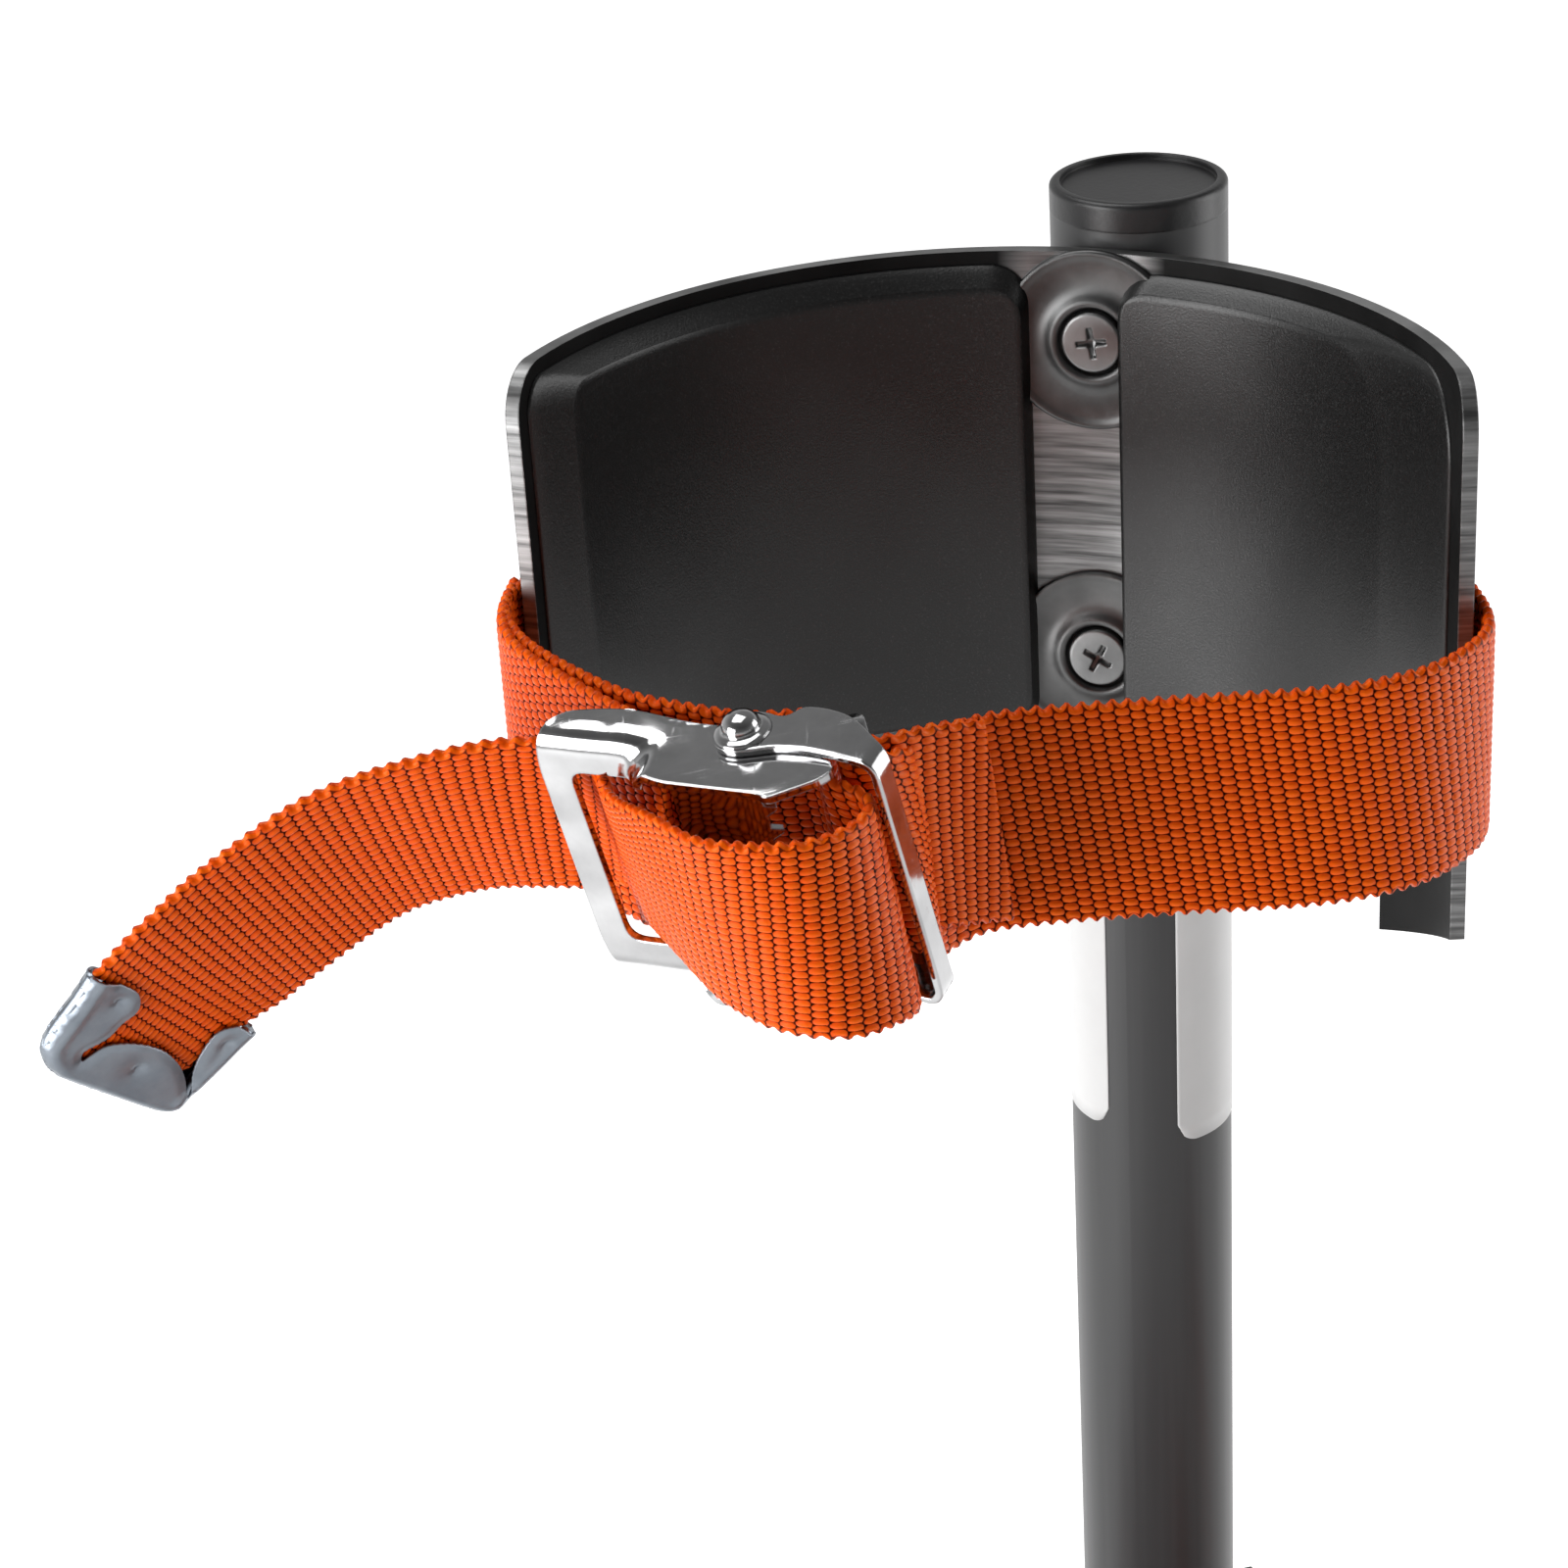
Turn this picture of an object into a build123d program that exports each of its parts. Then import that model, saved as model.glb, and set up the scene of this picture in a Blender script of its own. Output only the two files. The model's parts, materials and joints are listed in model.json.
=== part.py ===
from build123d import *
import math
import os

# One drywall stilt for the left leg, stored at its lowest height.
# +X points to the toe, +Y to the outer side of the leg, +Z up.
# The origin is the centre of the sole's underside.  All sizes are in millimetres.

# ---- running fits and fasteners
RUN = 0.08                 # radial clearance of a tube that slides in another
PIVOT_PIN_R = 4.95
PIVOT_HOLE_R = 5.0
NUT_FLATS = 16.0
NUT_THICK = 8.0
CLAMP_BOLT_R = 3.0
CLAMP_HOLE_R = 3.08
RIVET_R = 2.5
RIVET_HOLE_R = 2.55
BOLT_HOLE_R = 3.05

# ---- sole and floor plate
SOLE_LENGTH = 310.0
SOLE_WIDTH = 110.0
SOLE_THICK = 14.0
TREAD_DEPTH = 3.0
TREAD_WIDTH = 5.0
TREAD_PITCH = 20.0
TREAD_GROOVES = 14
FLOOR_LENGTH = 298.0
FLOOR_WIDTH = 98.0
FLOOR_THICK = 5.0
FLOOR_TOP = SOLE_THICK + FLOOR_THICK

# ---- the four strut pivots
STRUT_X = 105.0            # front strut at +X, rear strut at -X
BASE_PIVOT_Z = 48.0
FOOT_PIVOT_Z = 584.0
CHEEK_IN = 22.0
CHEEK_THICK = 4.0
CHEEK_OUT = CHEEK_IN + CHEEK_THICK
CHEEK_R = 17.0
EYE_R = 13.0
EYE_HALF = 21.8

# ---- struts
LOWER_R = 19.05
LOWER_WALL = 1.6
LOWER_BOTTOM = 64.0
LOWER_TOP = 547.0
UPPER_R = LOWER_R - LOWER_WALL - RUN
UPPER_WALL = 1.6
UPPER_BOTTOM = 84.0
UPPER_TOP = 562.0
INDEX_PITCH = 50.8
INDEX_R = 3.4
CLAMP_HEIGHT = 28.0
CLAMP_R = 24.0
CLAMP_SLOT = 3.0
CLAMP_EAR = 46.0
CLAMP_BOLT_X = 38.0

# ---- return springs
SPRING_PIN_X = 14.0
SPRING_PIN_Z = 39.0
SPRING_LUG_OUT = 30.0
SPRING_LUG_Z = 150.0
SPRING_R = 9.0
SPRING_EYE_GAP = 12.0

# ---- foot plate
FOOT_TOP = 610.0
FOOT_THICK = 3.0
FOOT_LENGTH = 286.0
FOOT_HALF = 47.5
FOOT_LIP = 16.0
FOOT_UNDER = FOOT_TOP - FOOT_THICK
HEEL_X = -76.0
HEEL_R = 46.0
HEEL_THICK = 2.5
HEEL_HEIGHT = 62.0

# ---- leg tube and its clamp
POLE_X = -25.0
POLE_Y = 90.0
POLE_R = 15.875
POLE_WALL = 1.6
POLE_BOTTOM = 505.0
POLE_TOP = 1010.0
CAP_RIM = 5.2
SLEEVE_R = 18.25
WALL_Y = 61.0
WALL_THICK = 4.0
HOLDER_LOW = 622.0
HOLDER_HIGH = 682.0
HOLDER_R = 23.5

# ---- calf band, measured from the leg tube's axis and the top of its cap
BAND_CX = -34.8
BAND_CY = -89.4
BAND_R = 80.05
BAND_THICK = 2.5
BAND_HIGH = -8.0
BAND_LOW = -104.5
BAND_RIGHT = -1.5
BAND_LEFT = 160.0
BAND_CORNER = 9.0
TAB_FROM = 24.0
TAB_LOW = -123.0
PAD_THICK = 3.5
PAD_HIGH = -10.5
PAD_LOW = -102.0
TUBE_ANGLE = 68.7
SCREW_ANGLE = 71.0
SCREW_HIGH = -24.0
SCREW_LOW = -85.0
WASHER_R = 16.6
WASHER_THICK = 1.2

# ---- webbing
WEB_WIDTH = 38.0
WEB_THICK = 2.0
WEB_HIGH = -47.0
WEB_LOW = WEB_HIGH - WEB_WIDTH
TOE_X = 81.0
ANKLE_Z = 659.0

# ---- cam buckles, in a buckle's own frame: +X along the webbing, -Y outwards, +Z across
PIVOT = (3.6, 4.5)
FLANGE_Z = 21.6
SHEET = 1.4
LINK_PIN = (20.0, 9.4)
LINK_PIN_R = 1.8
CALF_BUCKLE = (-72.1, -132.6, -64.9)
ANKLE_BUCKLE = (-26.0, -64.6)


def box(x0, x1, y0, y1, z0, z1):
    """A block between two corners."""
    size = (x1 - x0, y1 - y0, z1 - z0)
    middle = ((x0 + x1) / 2, (y0 + y1) / 2, (z0 + z1) / 2)
    return Pos(*middle) * Box(*size)


def rod(start, direction, radius, length):
    """A cylinder that starts at a point and runs along a direction."""
    base = (Align.CENTER, Align.CENTER, Align.MIN)
    return Plane(origin=start, z_dir=direction) * Cylinder(radius, length, align=base)


def pipe(start, direction, outer, inner, length):
    """A round tube with open ends."""
    return rod(start, direction, outer, length) - rod(start, direction, inner, length)


def hexagon(start, direction, flats, length):
    """A hexagonal prism, such as a nut without its hole."""
    outline = RegularPolygon(flats / math.sqrt(3), 6)
    return extrude(Plane(origin=start, z_dir=direction) * outline, length)


def dome(start, direction, radius, height):
    """A low round head, the cap of a sphere."""
    sphere_r = (radius * radius + height * height) / (2 * height)
    plane = Plane(origin=start, z_dir=direction)
    ball = plane * Pos(0, 0, height - sphere_r) * Sphere(sphere_r)
    return ball & rod(start, direction, radius, height + 1)


def rounded_slab(length, width, corner, z0, z1):
    """A flat slab with round corners, centred on the origin."""
    return Pos(0, 0, z0) * extrude(RectangleRounded(length, width, corner), z1 - z0)


def ribbon(stations, thickness=WEB_THICK):
    """A strip of webbing through pairs of points, one on each long edge."""
    high = [Vector(*a) for a, b in stations]
    low = [Vector(*b) for a, b in stations]
    rings = []
    last = len(stations) - 1
    for i in range(last + 1):
        ahead = high[min(i + 1, last)] + low[min(i + 1, last)]
        behind = high[max(i - 1, 0)] + low[max(i - 1, 0)]
        normal = (ahead - behind).cross(high[i] - low[i]).normalized() * (thickness / 2)
        rings.append([high[i] + normal, high[i] - normal, low[i] - normal, low[i] + normal])
    faces = []
    for a, b in zip(rings, rings[1:]):
        for k in range(4):
            j = (k + 1) % 4
            faces.append(flat_face(a[k], a[j], b[j]))
            faces.append(flat_face(a[k], b[j], b[k]))
    for ring in (rings[0], rings[-1]):
        faces.append(flat_face(ring[0], ring[1], ring[2]))
        faces.append(flat_face(ring[0], ring[2], ring[3]))
    return Solid(Shell(faces))


def flat_face(*corners):
    """One flat face through its corners."""
    return Face(Wire.make_polygon(list(corners), close=True))


def at_calf(x, y, z):
    """A point measured from the leg tube's axis and cap top, in the stilt's frame."""
    return (x + POLE_X, y + POLE_Y, z + POLE_TOP)


def on_arc(radius, degrees, z=0.0):
    """A point at a radius and angle about the calf band's axis."""
    a = math.radians(degrees)
    return at_calf(BAND_CX + radius * math.cos(a), BAND_CY + radius * math.sin(a), z)


# ---- sole, floor plate and base brackets

def rubber_sole():
    body = rounded_slab(SOLE_LENGTH, SOLE_WIDTH, 38, 0, SOLE_THICK)
    for i in range(TREAD_GROOVES):
        x = (i - (TREAD_GROOVES - 1) / 2) * TREAD_PITCH
        half = TREAD_WIDTH / 2
        body -= box(x - half, x + half, -SOLE_WIDTH, SOLE_WIDTH, -1, TREAD_DEPTH)
    return body


def floor_plate():
    plate = rounded_slab(FLOOR_LENGTH, FLOOR_WIDTH, 33, SOLE_THICK, FLOOR_TOP)
    return plate - [rod((x, y, 0), (0, 0, 1), RIVET_HOLE_R, 40) for x, y in bracket_rivet_places()]


def clevis(x, pivot_z, flange_z, up):
    """A channel bracket: a flange on a plate and two cheeks with the pivot hole."""
    far = flange_z + up * CHEEK_THICK
    z0, z1 = sorted((flange_z, far))
    part = box(x - 30, x + 30, -CHEEK_OUT, CHEEK_OUT, z0, z1)
    c0, c1 = sorted((flange_z, pivot_z))
    for side in (-1, 1):
        y0, y1 = sorted((side * CHEEK_IN, side * CHEEK_OUT))
        part += box(x - CHEEK_R, x + CHEEK_R, y0, y1, c0, c1)
        part += rod((x, y0, pivot_z), (0, 1, 0), CHEEK_R, CHEEK_THICK)
    return part - rod((x, -40, pivot_z), (0, 1, 0), PIVOT_HOLE_R, 80)


def bracket_rivet_places():
    return [(sx * STRUT_X + dx, dy) for sx in (-1, 1) for dx in (-24, 24) for dy in (-13, 13)]


def base_brackets():
    both = []
    for side in (-1, 1):
        bracket = clevis(side * STRUT_X, BASE_PIVOT_Z, FLOOR_TOP, 1)
        both.append(bracket - [rod((x, y, 0), (0, 0, 1), RIVET_HOLE_R, 40) for x, y in bracket_rivet_places()])
    return both


def base_rivets():
    heads = []
    top = FLOOR_TOP + CHEEK_THICK
    for x, y in bracket_rivet_places():
        shank = rod((x, y, SOLE_THICK), (0, 0, 1), RIVET_R, top - SOLE_THICK)
        heads.append(shank + dome((x, y, top), (0, 0, 1), 4.6, 2.4))
    return heads


def pivot_bolts(z):
    bolts = []
    for side in (-1, 1):
        x = side * STRUT_X
        shank = rod((x, -CHEEK_OUT, z), (0, 1, 0), PIVOT_PIN_R, 2 * CHEEK_OUT + NUT_THICK + 3)
        bolts.append(shank + hexagon((x, -CHEEK_OUT, z), (0, -1, 0), NUT_FLATS, 6))
    return bolts


def pivot_nuts(z):
    nuts = []
    for side in (-1, 1):
        start = (side * STRUT_X, CHEEK_OUT, z)
        nut = hexagon(start, (0, 1, 0), NUT_FLATS, NUT_THICK)
        nuts.append(nut - rod(start, (0, 1, 0), PIVOT_HOLE_R, 20))
    return nuts


def spring_bracket():
    part = box(-30, 30, -16, 16, FLOOR_TOP, FLOOR_TOP + 3)
    for side in (-1, 1):
        y0, y1 = sorted((side * 12, side * 15))
        part += box(-22, 22, y0, y1, FLOOR_TOP, SPRING_PIN_Z + 8)
    for x in (-SPRING_PIN_X, SPRING_PIN_X):
        part += rod((x, -18, SPRING_PIN_Z), (0, 1, 0), 3, 36)
    return part


# ---- struts

def strut_foot(x):
    part = rod((x, -EYE_HALF, BASE_PIVOT_Z), (0, 1, 0), EYE_R, 2 * EYE_HALF)
    part += box(x - 11, x + 11, -13, 13, BASE_PIVOT_Z, LOWER_BOTTOM)
    part += rod((x, 0, LOWER_BOTTOM - 4), (0, 0, 1), LOWER_R, 4)
    part += rod((x, 0, LOWER_BOTTOM), (0, 0, 1), LOWER_R - LOWER_WALL - 0.05, 16)
    return part - rod((x, -40, BASE_PIVOT_Z), (0, 1, 0), PIVOT_HOLE_R, 80)


def lower_tube(x):
    height = LOWER_TOP - LOWER_BOTTOM
    part = pipe((x, 0, LOWER_BOTTOM), (0, 0, 1), LOWER_R, LOWER_R - LOWER_WALL, height)
    slot_from = LOWER_TOP - CLAMP_HEIGHT - 12
    side = math.copysign(1, x)
    x0, x1 = sorted((x, x + side * 30))
    return part - box(x0, x1, -CLAMP_SLOT / 2, CLAMP_SLOT / 2, slot_from, LOWER_TOP + 1)


def height_clamp(x):
    """A split collar round the mouth of the lower tube, with two ears."""
    side = math.copysign(1, x)
    z0 = LOWER_TOP - CLAMP_HEIGHT
    part = rod((x, 0, z0), (0, 0, 1), CLAMP_R, CLAMP_HEIGHT)
    x0, x1 = sorted((x + side * 18, x + side * CLAMP_EAR))
    part += box(x0, x1, -7.5, 7.5, z0 + 3, LOWER_TOP - 3)
    part -= rod((x, 0, z0 - 1), (0, 0, 1), LOWER_R, CLAMP_HEIGHT + 2)
    x0, x1 = sorted((x, x + side * 50))
    part -= box(x0, x1, -CLAMP_SLOT / 2, CLAMP_SLOT / 2, z0 - 1, LOWER_TOP + 1)
    bolt_x = x + side * CLAMP_BOLT_X
    return part - rod((bolt_x, -20, LOWER_TOP - CLAMP_HEIGHT / 2), (0, 1, 0), CLAMP_HOLE_R, 40)


def height_clamp_bolt(x):
    start = (x + math.copysign(CLAMP_BOLT_X, x), 7.5, LOWER_TOP - CLAMP_HEIGHT / 2)
    return rod(start, (0, -1, 0), CLAMP_BOLT_R, 34) + dome(start, (0, 1, 0), 7, 3.5)


def wing_nut(start, direction, wing):
    """A wing nut whose seat is at the start point; wing is the way its wings spread."""
    part = rod(start, direction, 6.5, 4)
    part += rod(start, direction, 5, 9)
    out = Vector(*direction).normalized()
    across = Vector(*wing).normalized()
    seat = Vector(*start)
    plane = Plane(origin=seat, x_dir=across, z_dir=out.cross(across) * -1)
    blade = Pos(0, 0, -1.5) * extrude(make_face(Polyline((3, 1), (8, 1.5), (16, 8), (17.5, 15),
                                                        (15, 18), (11, 16), (3, 8), (3, 1))), 3)
    mirrored = mirror(blade, Plane.YZ)
    sign = 1 if plane.y_dir.dot(out) > 0 else -1
    both = Part() + [blade, mirrored]
    if sign < 0:
        both = mirror(both, Plane.XZ)
    part += plane * both
    return part - rod(tuple(seat - out), direction, CLAMP_HOLE_R, 30)


def height_wing_nut(x):
    start = (x + math.copysign(CLAMP_BOLT_X, x), -7.6, LOWER_TOP - CLAMP_HEIGHT / 2)
    return wing_nut(start, (0, -1, 0), (0, 0, 1))


def spring_collar(x):
    """A ring round the lower tube with two ears and the pin that the spring hooks on."""
    side = -math.copysign(1, x)
    part = rod((x, 0, SPRING_LUG_Z - 9), (0, 0, 1), LOWER_R + 4, 18)
    x0, x1 = sorted((x + side * 18, x + side * (SPRING_LUG_OUT + 5)))
    for y0 in (-9.0, 6.0):
        part += box(x0, x1, y0, y0 + 3, SPRING_LUG_Z - 7, SPRING_LUG_Z + 7)
    part -= rod((x, 0, SPRING_LUG_Z - 10), (0, 0, 1), LOWER_R, 20)
    return part + rod((x + side * SPRING_LUG_OUT, -11, SPRING_LUG_Z), (0, 1, 0), 3, 22)


def spring(x):
    """The space of one coil spring, with a thin stem for the hook at each end."""
    side = math.copysign(1, x)
    start = Vector(side * SPRING_PIN_X, 0, SPRING_PIN_Z)
    end = Vector(x - side * SPRING_LUG_OUT, 0, SPRING_LUG_Z)
    along = (end - start).normalized()
    length = (end - start).length
    coil = rod(tuple(start + along * SPRING_EYE_GAP), tuple(along), SPRING_R, length - 2 * SPRING_EYE_GAP)
    stem = rod(tuple(start + along * 3.6), tuple(along), 1.4, length - 7.2)
    return coil + stem


def upper_tube(x):
    height = UPPER_TOP - UPPER_BOTTOM
    part = pipe((x, 0, UPPER_BOTTOM), (0, 0, 1), UPPER_R, UPPER_R - UPPER_WALL, height)
    holes = int((height - 60) / INDEX_PITCH) + 1
    for i in range(holes):
        z = UPPER_TOP - 8 - i * INDEX_PITCH
        part -= rod((x, -30, z), (0, 1, 0), INDEX_R, 60)
    return part


def strut_head(x):
    part = rod((x, -EYE_HALF, FOOT_PIVOT_Z), (0, 1, 0), EYE_R, 2 * EYE_HALF)
    part += box(x - 11, x + 11, -13, 13, UPPER_TOP, FOOT_PIVOT_Z)
    part += rod((x, 0, UPPER_TOP), (0, 0, 1), UPPER_R + 1, 5)
    part += rod((x, 0, UPPER_TOP - 3), (0, 0, 1), UPPER_R - UPPER_WALL - 0.05, 3)
    return part - rod((x, -40, FOOT_PIVOT_Z), (0, 1, 0), PIVOT_HOLE_R, 80)


# ---- foot plate and what is fixed to it

def foot_plate():
    """A shallow channel with its lips turned down."""
    outline = RectangleRounded(FOOT_LENGTH, 2 * FOOT_HALF, 14)
    inner = RectangleRounded(FOOT_LENGTH + 60, 2 * (FOOT_HALF - FOOT_THICK), 11)
    part = Pos(0, 0, FOOT_TOP - FOOT_LIP) * extrude(outline, FOOT_LIP)
    part -= Pos(0, 0, FOOT_TOP - FOOT_LIP - 1) * extrude(inner, FOOT_LIP - FOOT_THICK + 1)
    part -= box(POLE_X - 38, POLE_X + 38, 30, 60, FOOT_TOP - FOOT_LIP - 1, FOOT_UNDER)
    holes = bracket_rivet_places() + side_bolt_places()
    part -= [rod((x, y, 580), (0, 0, 1), RIVET_HOLE_R, 40) for x, y in holes[:8]]
    part -= [rod((x, y, 580), (0, 0, 1), BOLT_HOLE_R, 40) for x, y in holes[8:]]
    return part


def foot_brackets():
    both = []
    for side in (-1, 1):
        bracket = clevis(side * STRUT_X, FOOT_PIVOT_Z, FOOT_UNDER, -1)
        both.append(bracket - [rod((x, y, 595), (0, 0, 1), RIVET_HOLE_R, 20) for x, y in bracket_rivet_places()])
    return both


def foot_rivets():
    rivets = []
    low = FOOT_UNDER - CHEEK_THICK
    for x, y in bracket_rivet_places():
        shank = rod((x, y, low), (0, 0, 1), RIVET_R, FOOT_TOP - low)
        shank += dome((x, y, FOOT_TOP), (0, 0, 1), 4.6, 1.8)
        rivets.append(shank + dome((x, y, low), (0, 0, -1), 4.6, 2.4))
    return rivets


def heel_cup():
    """A curved wall behind the heel on a flange, riveted to the foot plate."""
    low = FOOT_TOP
    part = pipe((HEEL_X, 0, low), (0, 0, 1), HEEL_R, HEEL_R - HEEL_THICK, HEEL_HEIGHT)
    part &= box(HEEL_X - 60, HEEL_X + 14, -60, 60, low, low + HEEL_HEIGHT)
    side_wall = 0.5 * HEEL_HEIGHT
    part -= box(HEEL_X - 14, HEEL_X + 20, -60, 60, low + side_wall, low + HEEL_HEIGHT + 1)
    disc = rod((HEEL_X, 0, low), (0, 0, 1), HEEL_R - HEEL_THICK, HEEL_THICK)
    disc &= box(HEEL_X - 60, HEEL_X - 26, -60, 60, low, low + HEEL_THICK)
    part += disc
    return part - [rod((x, y, low - 5), (0, 0, 1), 3.2, 20) for x, y in heel_rivet_places()]


def heel_rivet_places():
    return [(HEEL_X - 33, -14), (HEEL_X - 33, 14)]


def heel_rivets():
    """Two rivets through the heel cup's flange."""
    rivets = []
    for x, y in heel_rivet_places():
        shank = rod((x, y, FOOT_TOP), (0, 0, 1), 3.1, HEEL_THICK)
        rivets.append(shank + dome((x, y, FOOT_TOP + HEEL_THICK), (0, 0, 1), 5.2, 2.4))
    return rivets


def side_bolt_places():
    return [(POLE_X + dx, y) for dx in (-25, 25) for y in (28, 38)]


def side_bracket():
    """An angle plate under the foot plate that carries the leg tube's clamp."""
    low = FOOT_UNDER - WALL_THICK
    part = box(POLE_X - 34, POLE_X + 34, 20, WALL_Y + WALL_THICK, low, FOOT_UNDER)
    part += box(POLE_X - 34, POLE_X + 34, WALL_Y, WALL_Y + WALL_THICK, low, HOLDER_HIGH + 6)
    for dx in (-34, 34 - WALL_THICK):
        near = FOOT_HALF + 1
        gusset = make_face(Polyline((near, low), (WALL_Y + 1, low), (WALL_Y + 1, 640), (near, FOOT_UNDER), (near, low)))
        part += extrude(Plane(origin=(POLE_X + dx, 0, 0), x_dir=(0, 1, 0), z_dir=(1, 0, 0)) * gusset, WALL_THICK)
    part -= [rod((x, y, 580), (0, 0, 1), BOLT_HOLE_R, 40) for x, y in side_bolt_places()]
    return part - [rod((x, 50, z), (0, 1, 0), BOLT_HOLE_R, 40) for x, z in holder_screw_places()]


def side_bolts():
    """Four carriage bolts with their nuts, through the foot plate and the bracket."""
    bolts = []
    low = FOOT_UNDER - WALL_THICK
    for x, y in side_bolt_places():
        bolt = rod((x, y, low), (0, 0, 1), 3, FOOT_TOP - low) + dome((x, y, FOOT_TOP), (0, 0, 1), 6.5, 2.6)
        bolts.append(bolt + hexagon((x, y, low), (0, 0, -1), 10, 5) + rod((x, y, low - 7), (0, 0, 1), 3, 7))
    return bolts


def holder_screw_places():
    return [(POLE_X + dx, z) for dx in (-18, 18) for z in (HOLDER_LOW + 12, HOLDER_HIGH - 12)]


def pole_clamp():
    """A split collar with a flat back, round the sleeve of the leg tube."""
    height = HOLDER_HIGH - HOLDER_LOW
    back = WALL_Y + WALL_THICK
    part = rod((POLE_X, POLE_Y, HOLDER_LOW), (0, 0, 1), HOLDER_R, height)
    part += box(POLE_X - 25, POLE_X + 25, back, back + 9, HOLDER_LOW, HOLDER_HIGH)
    part += box(POLE_X - 9, POLE_X + 9, POLE_Y + 18, POLE_Y + CLAMP_EAR, HOLDER_LOW + 12, HOLDER_HIGH - 12)
    part -= rod((POLE_X, POLE_Y, HOLDER_LOW - 1), (0, 0, 1), SLEEVE_R + RUN, height + 2)
    part -= box(POLE_X - 2, POLE_X + 2, POLE_Y, POLE_Y + 60, HOLDER_LOW - 1, HOLDER_HIGH + 1)
    middle = (HOLDER_LOW + HOLDER_HIGH) / 2
    part -= rod((POLE_X - 20, POLE_Y + CLAMP_BOLT_X - 1, middle), (1, 0, 0), CLAMP_HOLE_R, 40)
    return part - [rod((x, back - 1, z), (0, 1, 0), 2.95, 8) for x, z in holder_screw_places()]


def pole_clamp_screws():
    screws = []
    for x, z in holder_screw_places():
        shank = rod((x, WALL_Y, z), (0, 1, 0), 2.9, 10)
        screws.append(shank + dome((x, WALL_Y, z), (0, -1, 0), 5.5, 3))
    return screws


def pole_clamp_bolt():
    start = (POLE_X - 9, POLE_Y + CLAMP_BOLT_X - 1, (HOLDER_LOW + HOLDER_HIGH) / 2)
    return rod(start, (1, 0, 0), CLAMP_BOLT_R, 36) + dome(start, (-1, 0, 0), 7, 3.5)


def pole_wing_nut():
    start = (POLE_X + 9.1, POLE_Y + CLAMP_BOLT_X - 1, (HOLDER_LOW + HOLDER_HIGH) / 2)
    return wing_nut(start, (1, 0, 0), (0, 0, 1))


def pole_sleeve():
    height = HOLDER_HIGH - HOLDER_LOW
    part = rod((POLE_X, POLE_Y, HOLDER_LOW - 4), (0, 0, 1), SLEEVE_R, height + 8)
    part += rod((POLE_X, POLE_Y, HOLDER_LOW - 4), (0, 0, 1), 22, 3.9)
    part += rod((POLE_X, POLE_Y, HOLDER_HIGH + 0.1), (0, 0, 1), 22, 3.9)
    return part - rod((POLE_X, POLE_Y, HOLDER_LOW - 5), (0, 0, 1), POLE_R + RUN, height + 10)


# ---- leg tube and calf band

def leg_tube():
    height = POLE_TOP - CAP_RIM - POLE_BOTTOM
    part = pipe((POLE_X, POLE_Y, POLE_BOTTOM), (0, 0, 1), POLE_R, POLE_R - POLE_WALL, height)
    for z in (SCREW_HIGH, SCREW_LOW):
        part -= rod(on_arc(BAND_R - 2, SCREW_ANGLE, z), screw_direction(1), BOLT_HOLE_R, 10)
    return part


def tube_cap():
    top = at_calf(0, 0, 0)
    rim = rod(at_calf(0, 0, -CAP_RIM), (0, 0, 1), POLE_R, CAP_RIM)
    plug = rod(at_calf(0, 0, -CAP_RIM - 12), (0, 0, 1), POLE_R - POLE_WALL - 0.05, 12)
    part = fillet(rim.edges().sort_by(Axis.Z)[-1], 1.0) + plug
    return part - rod((top[0], top[1], top[2] - 1.0), (0, 0, 1), POLE_R - 1.9, 5)


def screw_direction(sign):
    """The way from the calf to the leg tube, or back with sign -1."""
    a = math.radians(SCREW_ANGLE)
    return (sign * math.cos(a), sign * math.sin(a), 0)


def sector(inner, outer, start, end, low, high):
    """A curved slab about the calf band's axis between two angles."""
    centre = at_calf(BAND_CX, BAND_CY, low)
    outline = [(outer, start), (outer, (start + end) / 2), (outer, end)]
    back = [(inner, end), (inner, (start + end) / 2), (inner, start)]
    points = [(r * math.cos(math.radians(a)), r * math.sin(math.radians(a))) for r, a in outline + back]
    edges = [ThreePointArc(*points[:3]), Line(points[2], points[3])]
    edges += [ThreePointArc(*points[3:]), Line(points[5], points[0])]
    return Pos(*centre) * extrude(make_face(edges), high - low)


def corner_cut(degrees, z, around, rise):
    """The waste outside a rounded corner of the band; around and rise point off the plate."""
    a = math.radians(degrees)
    plane = Plane(origin=on_arc(BAND_R, degrees, z), x_dir=(-math.sin(a), math.cos(a), 0),
                  z_dir=(math.cos(a), math.sin(a), 0))
    up = rise if plane.y_dir.Z > 0 else -rise
    centre = (-around * BAND_CORNER, -up * BAND_CORNER)
    square = Pos(centre[0] + around * 10, centre[1] + up * 10) * Rectangle(20, 20)
    waste = square - Pos(*centre) * Circle(BAND_CORNER)
    return plane * Pos(0, 0, -8) * extrude(waste, 16)


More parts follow.
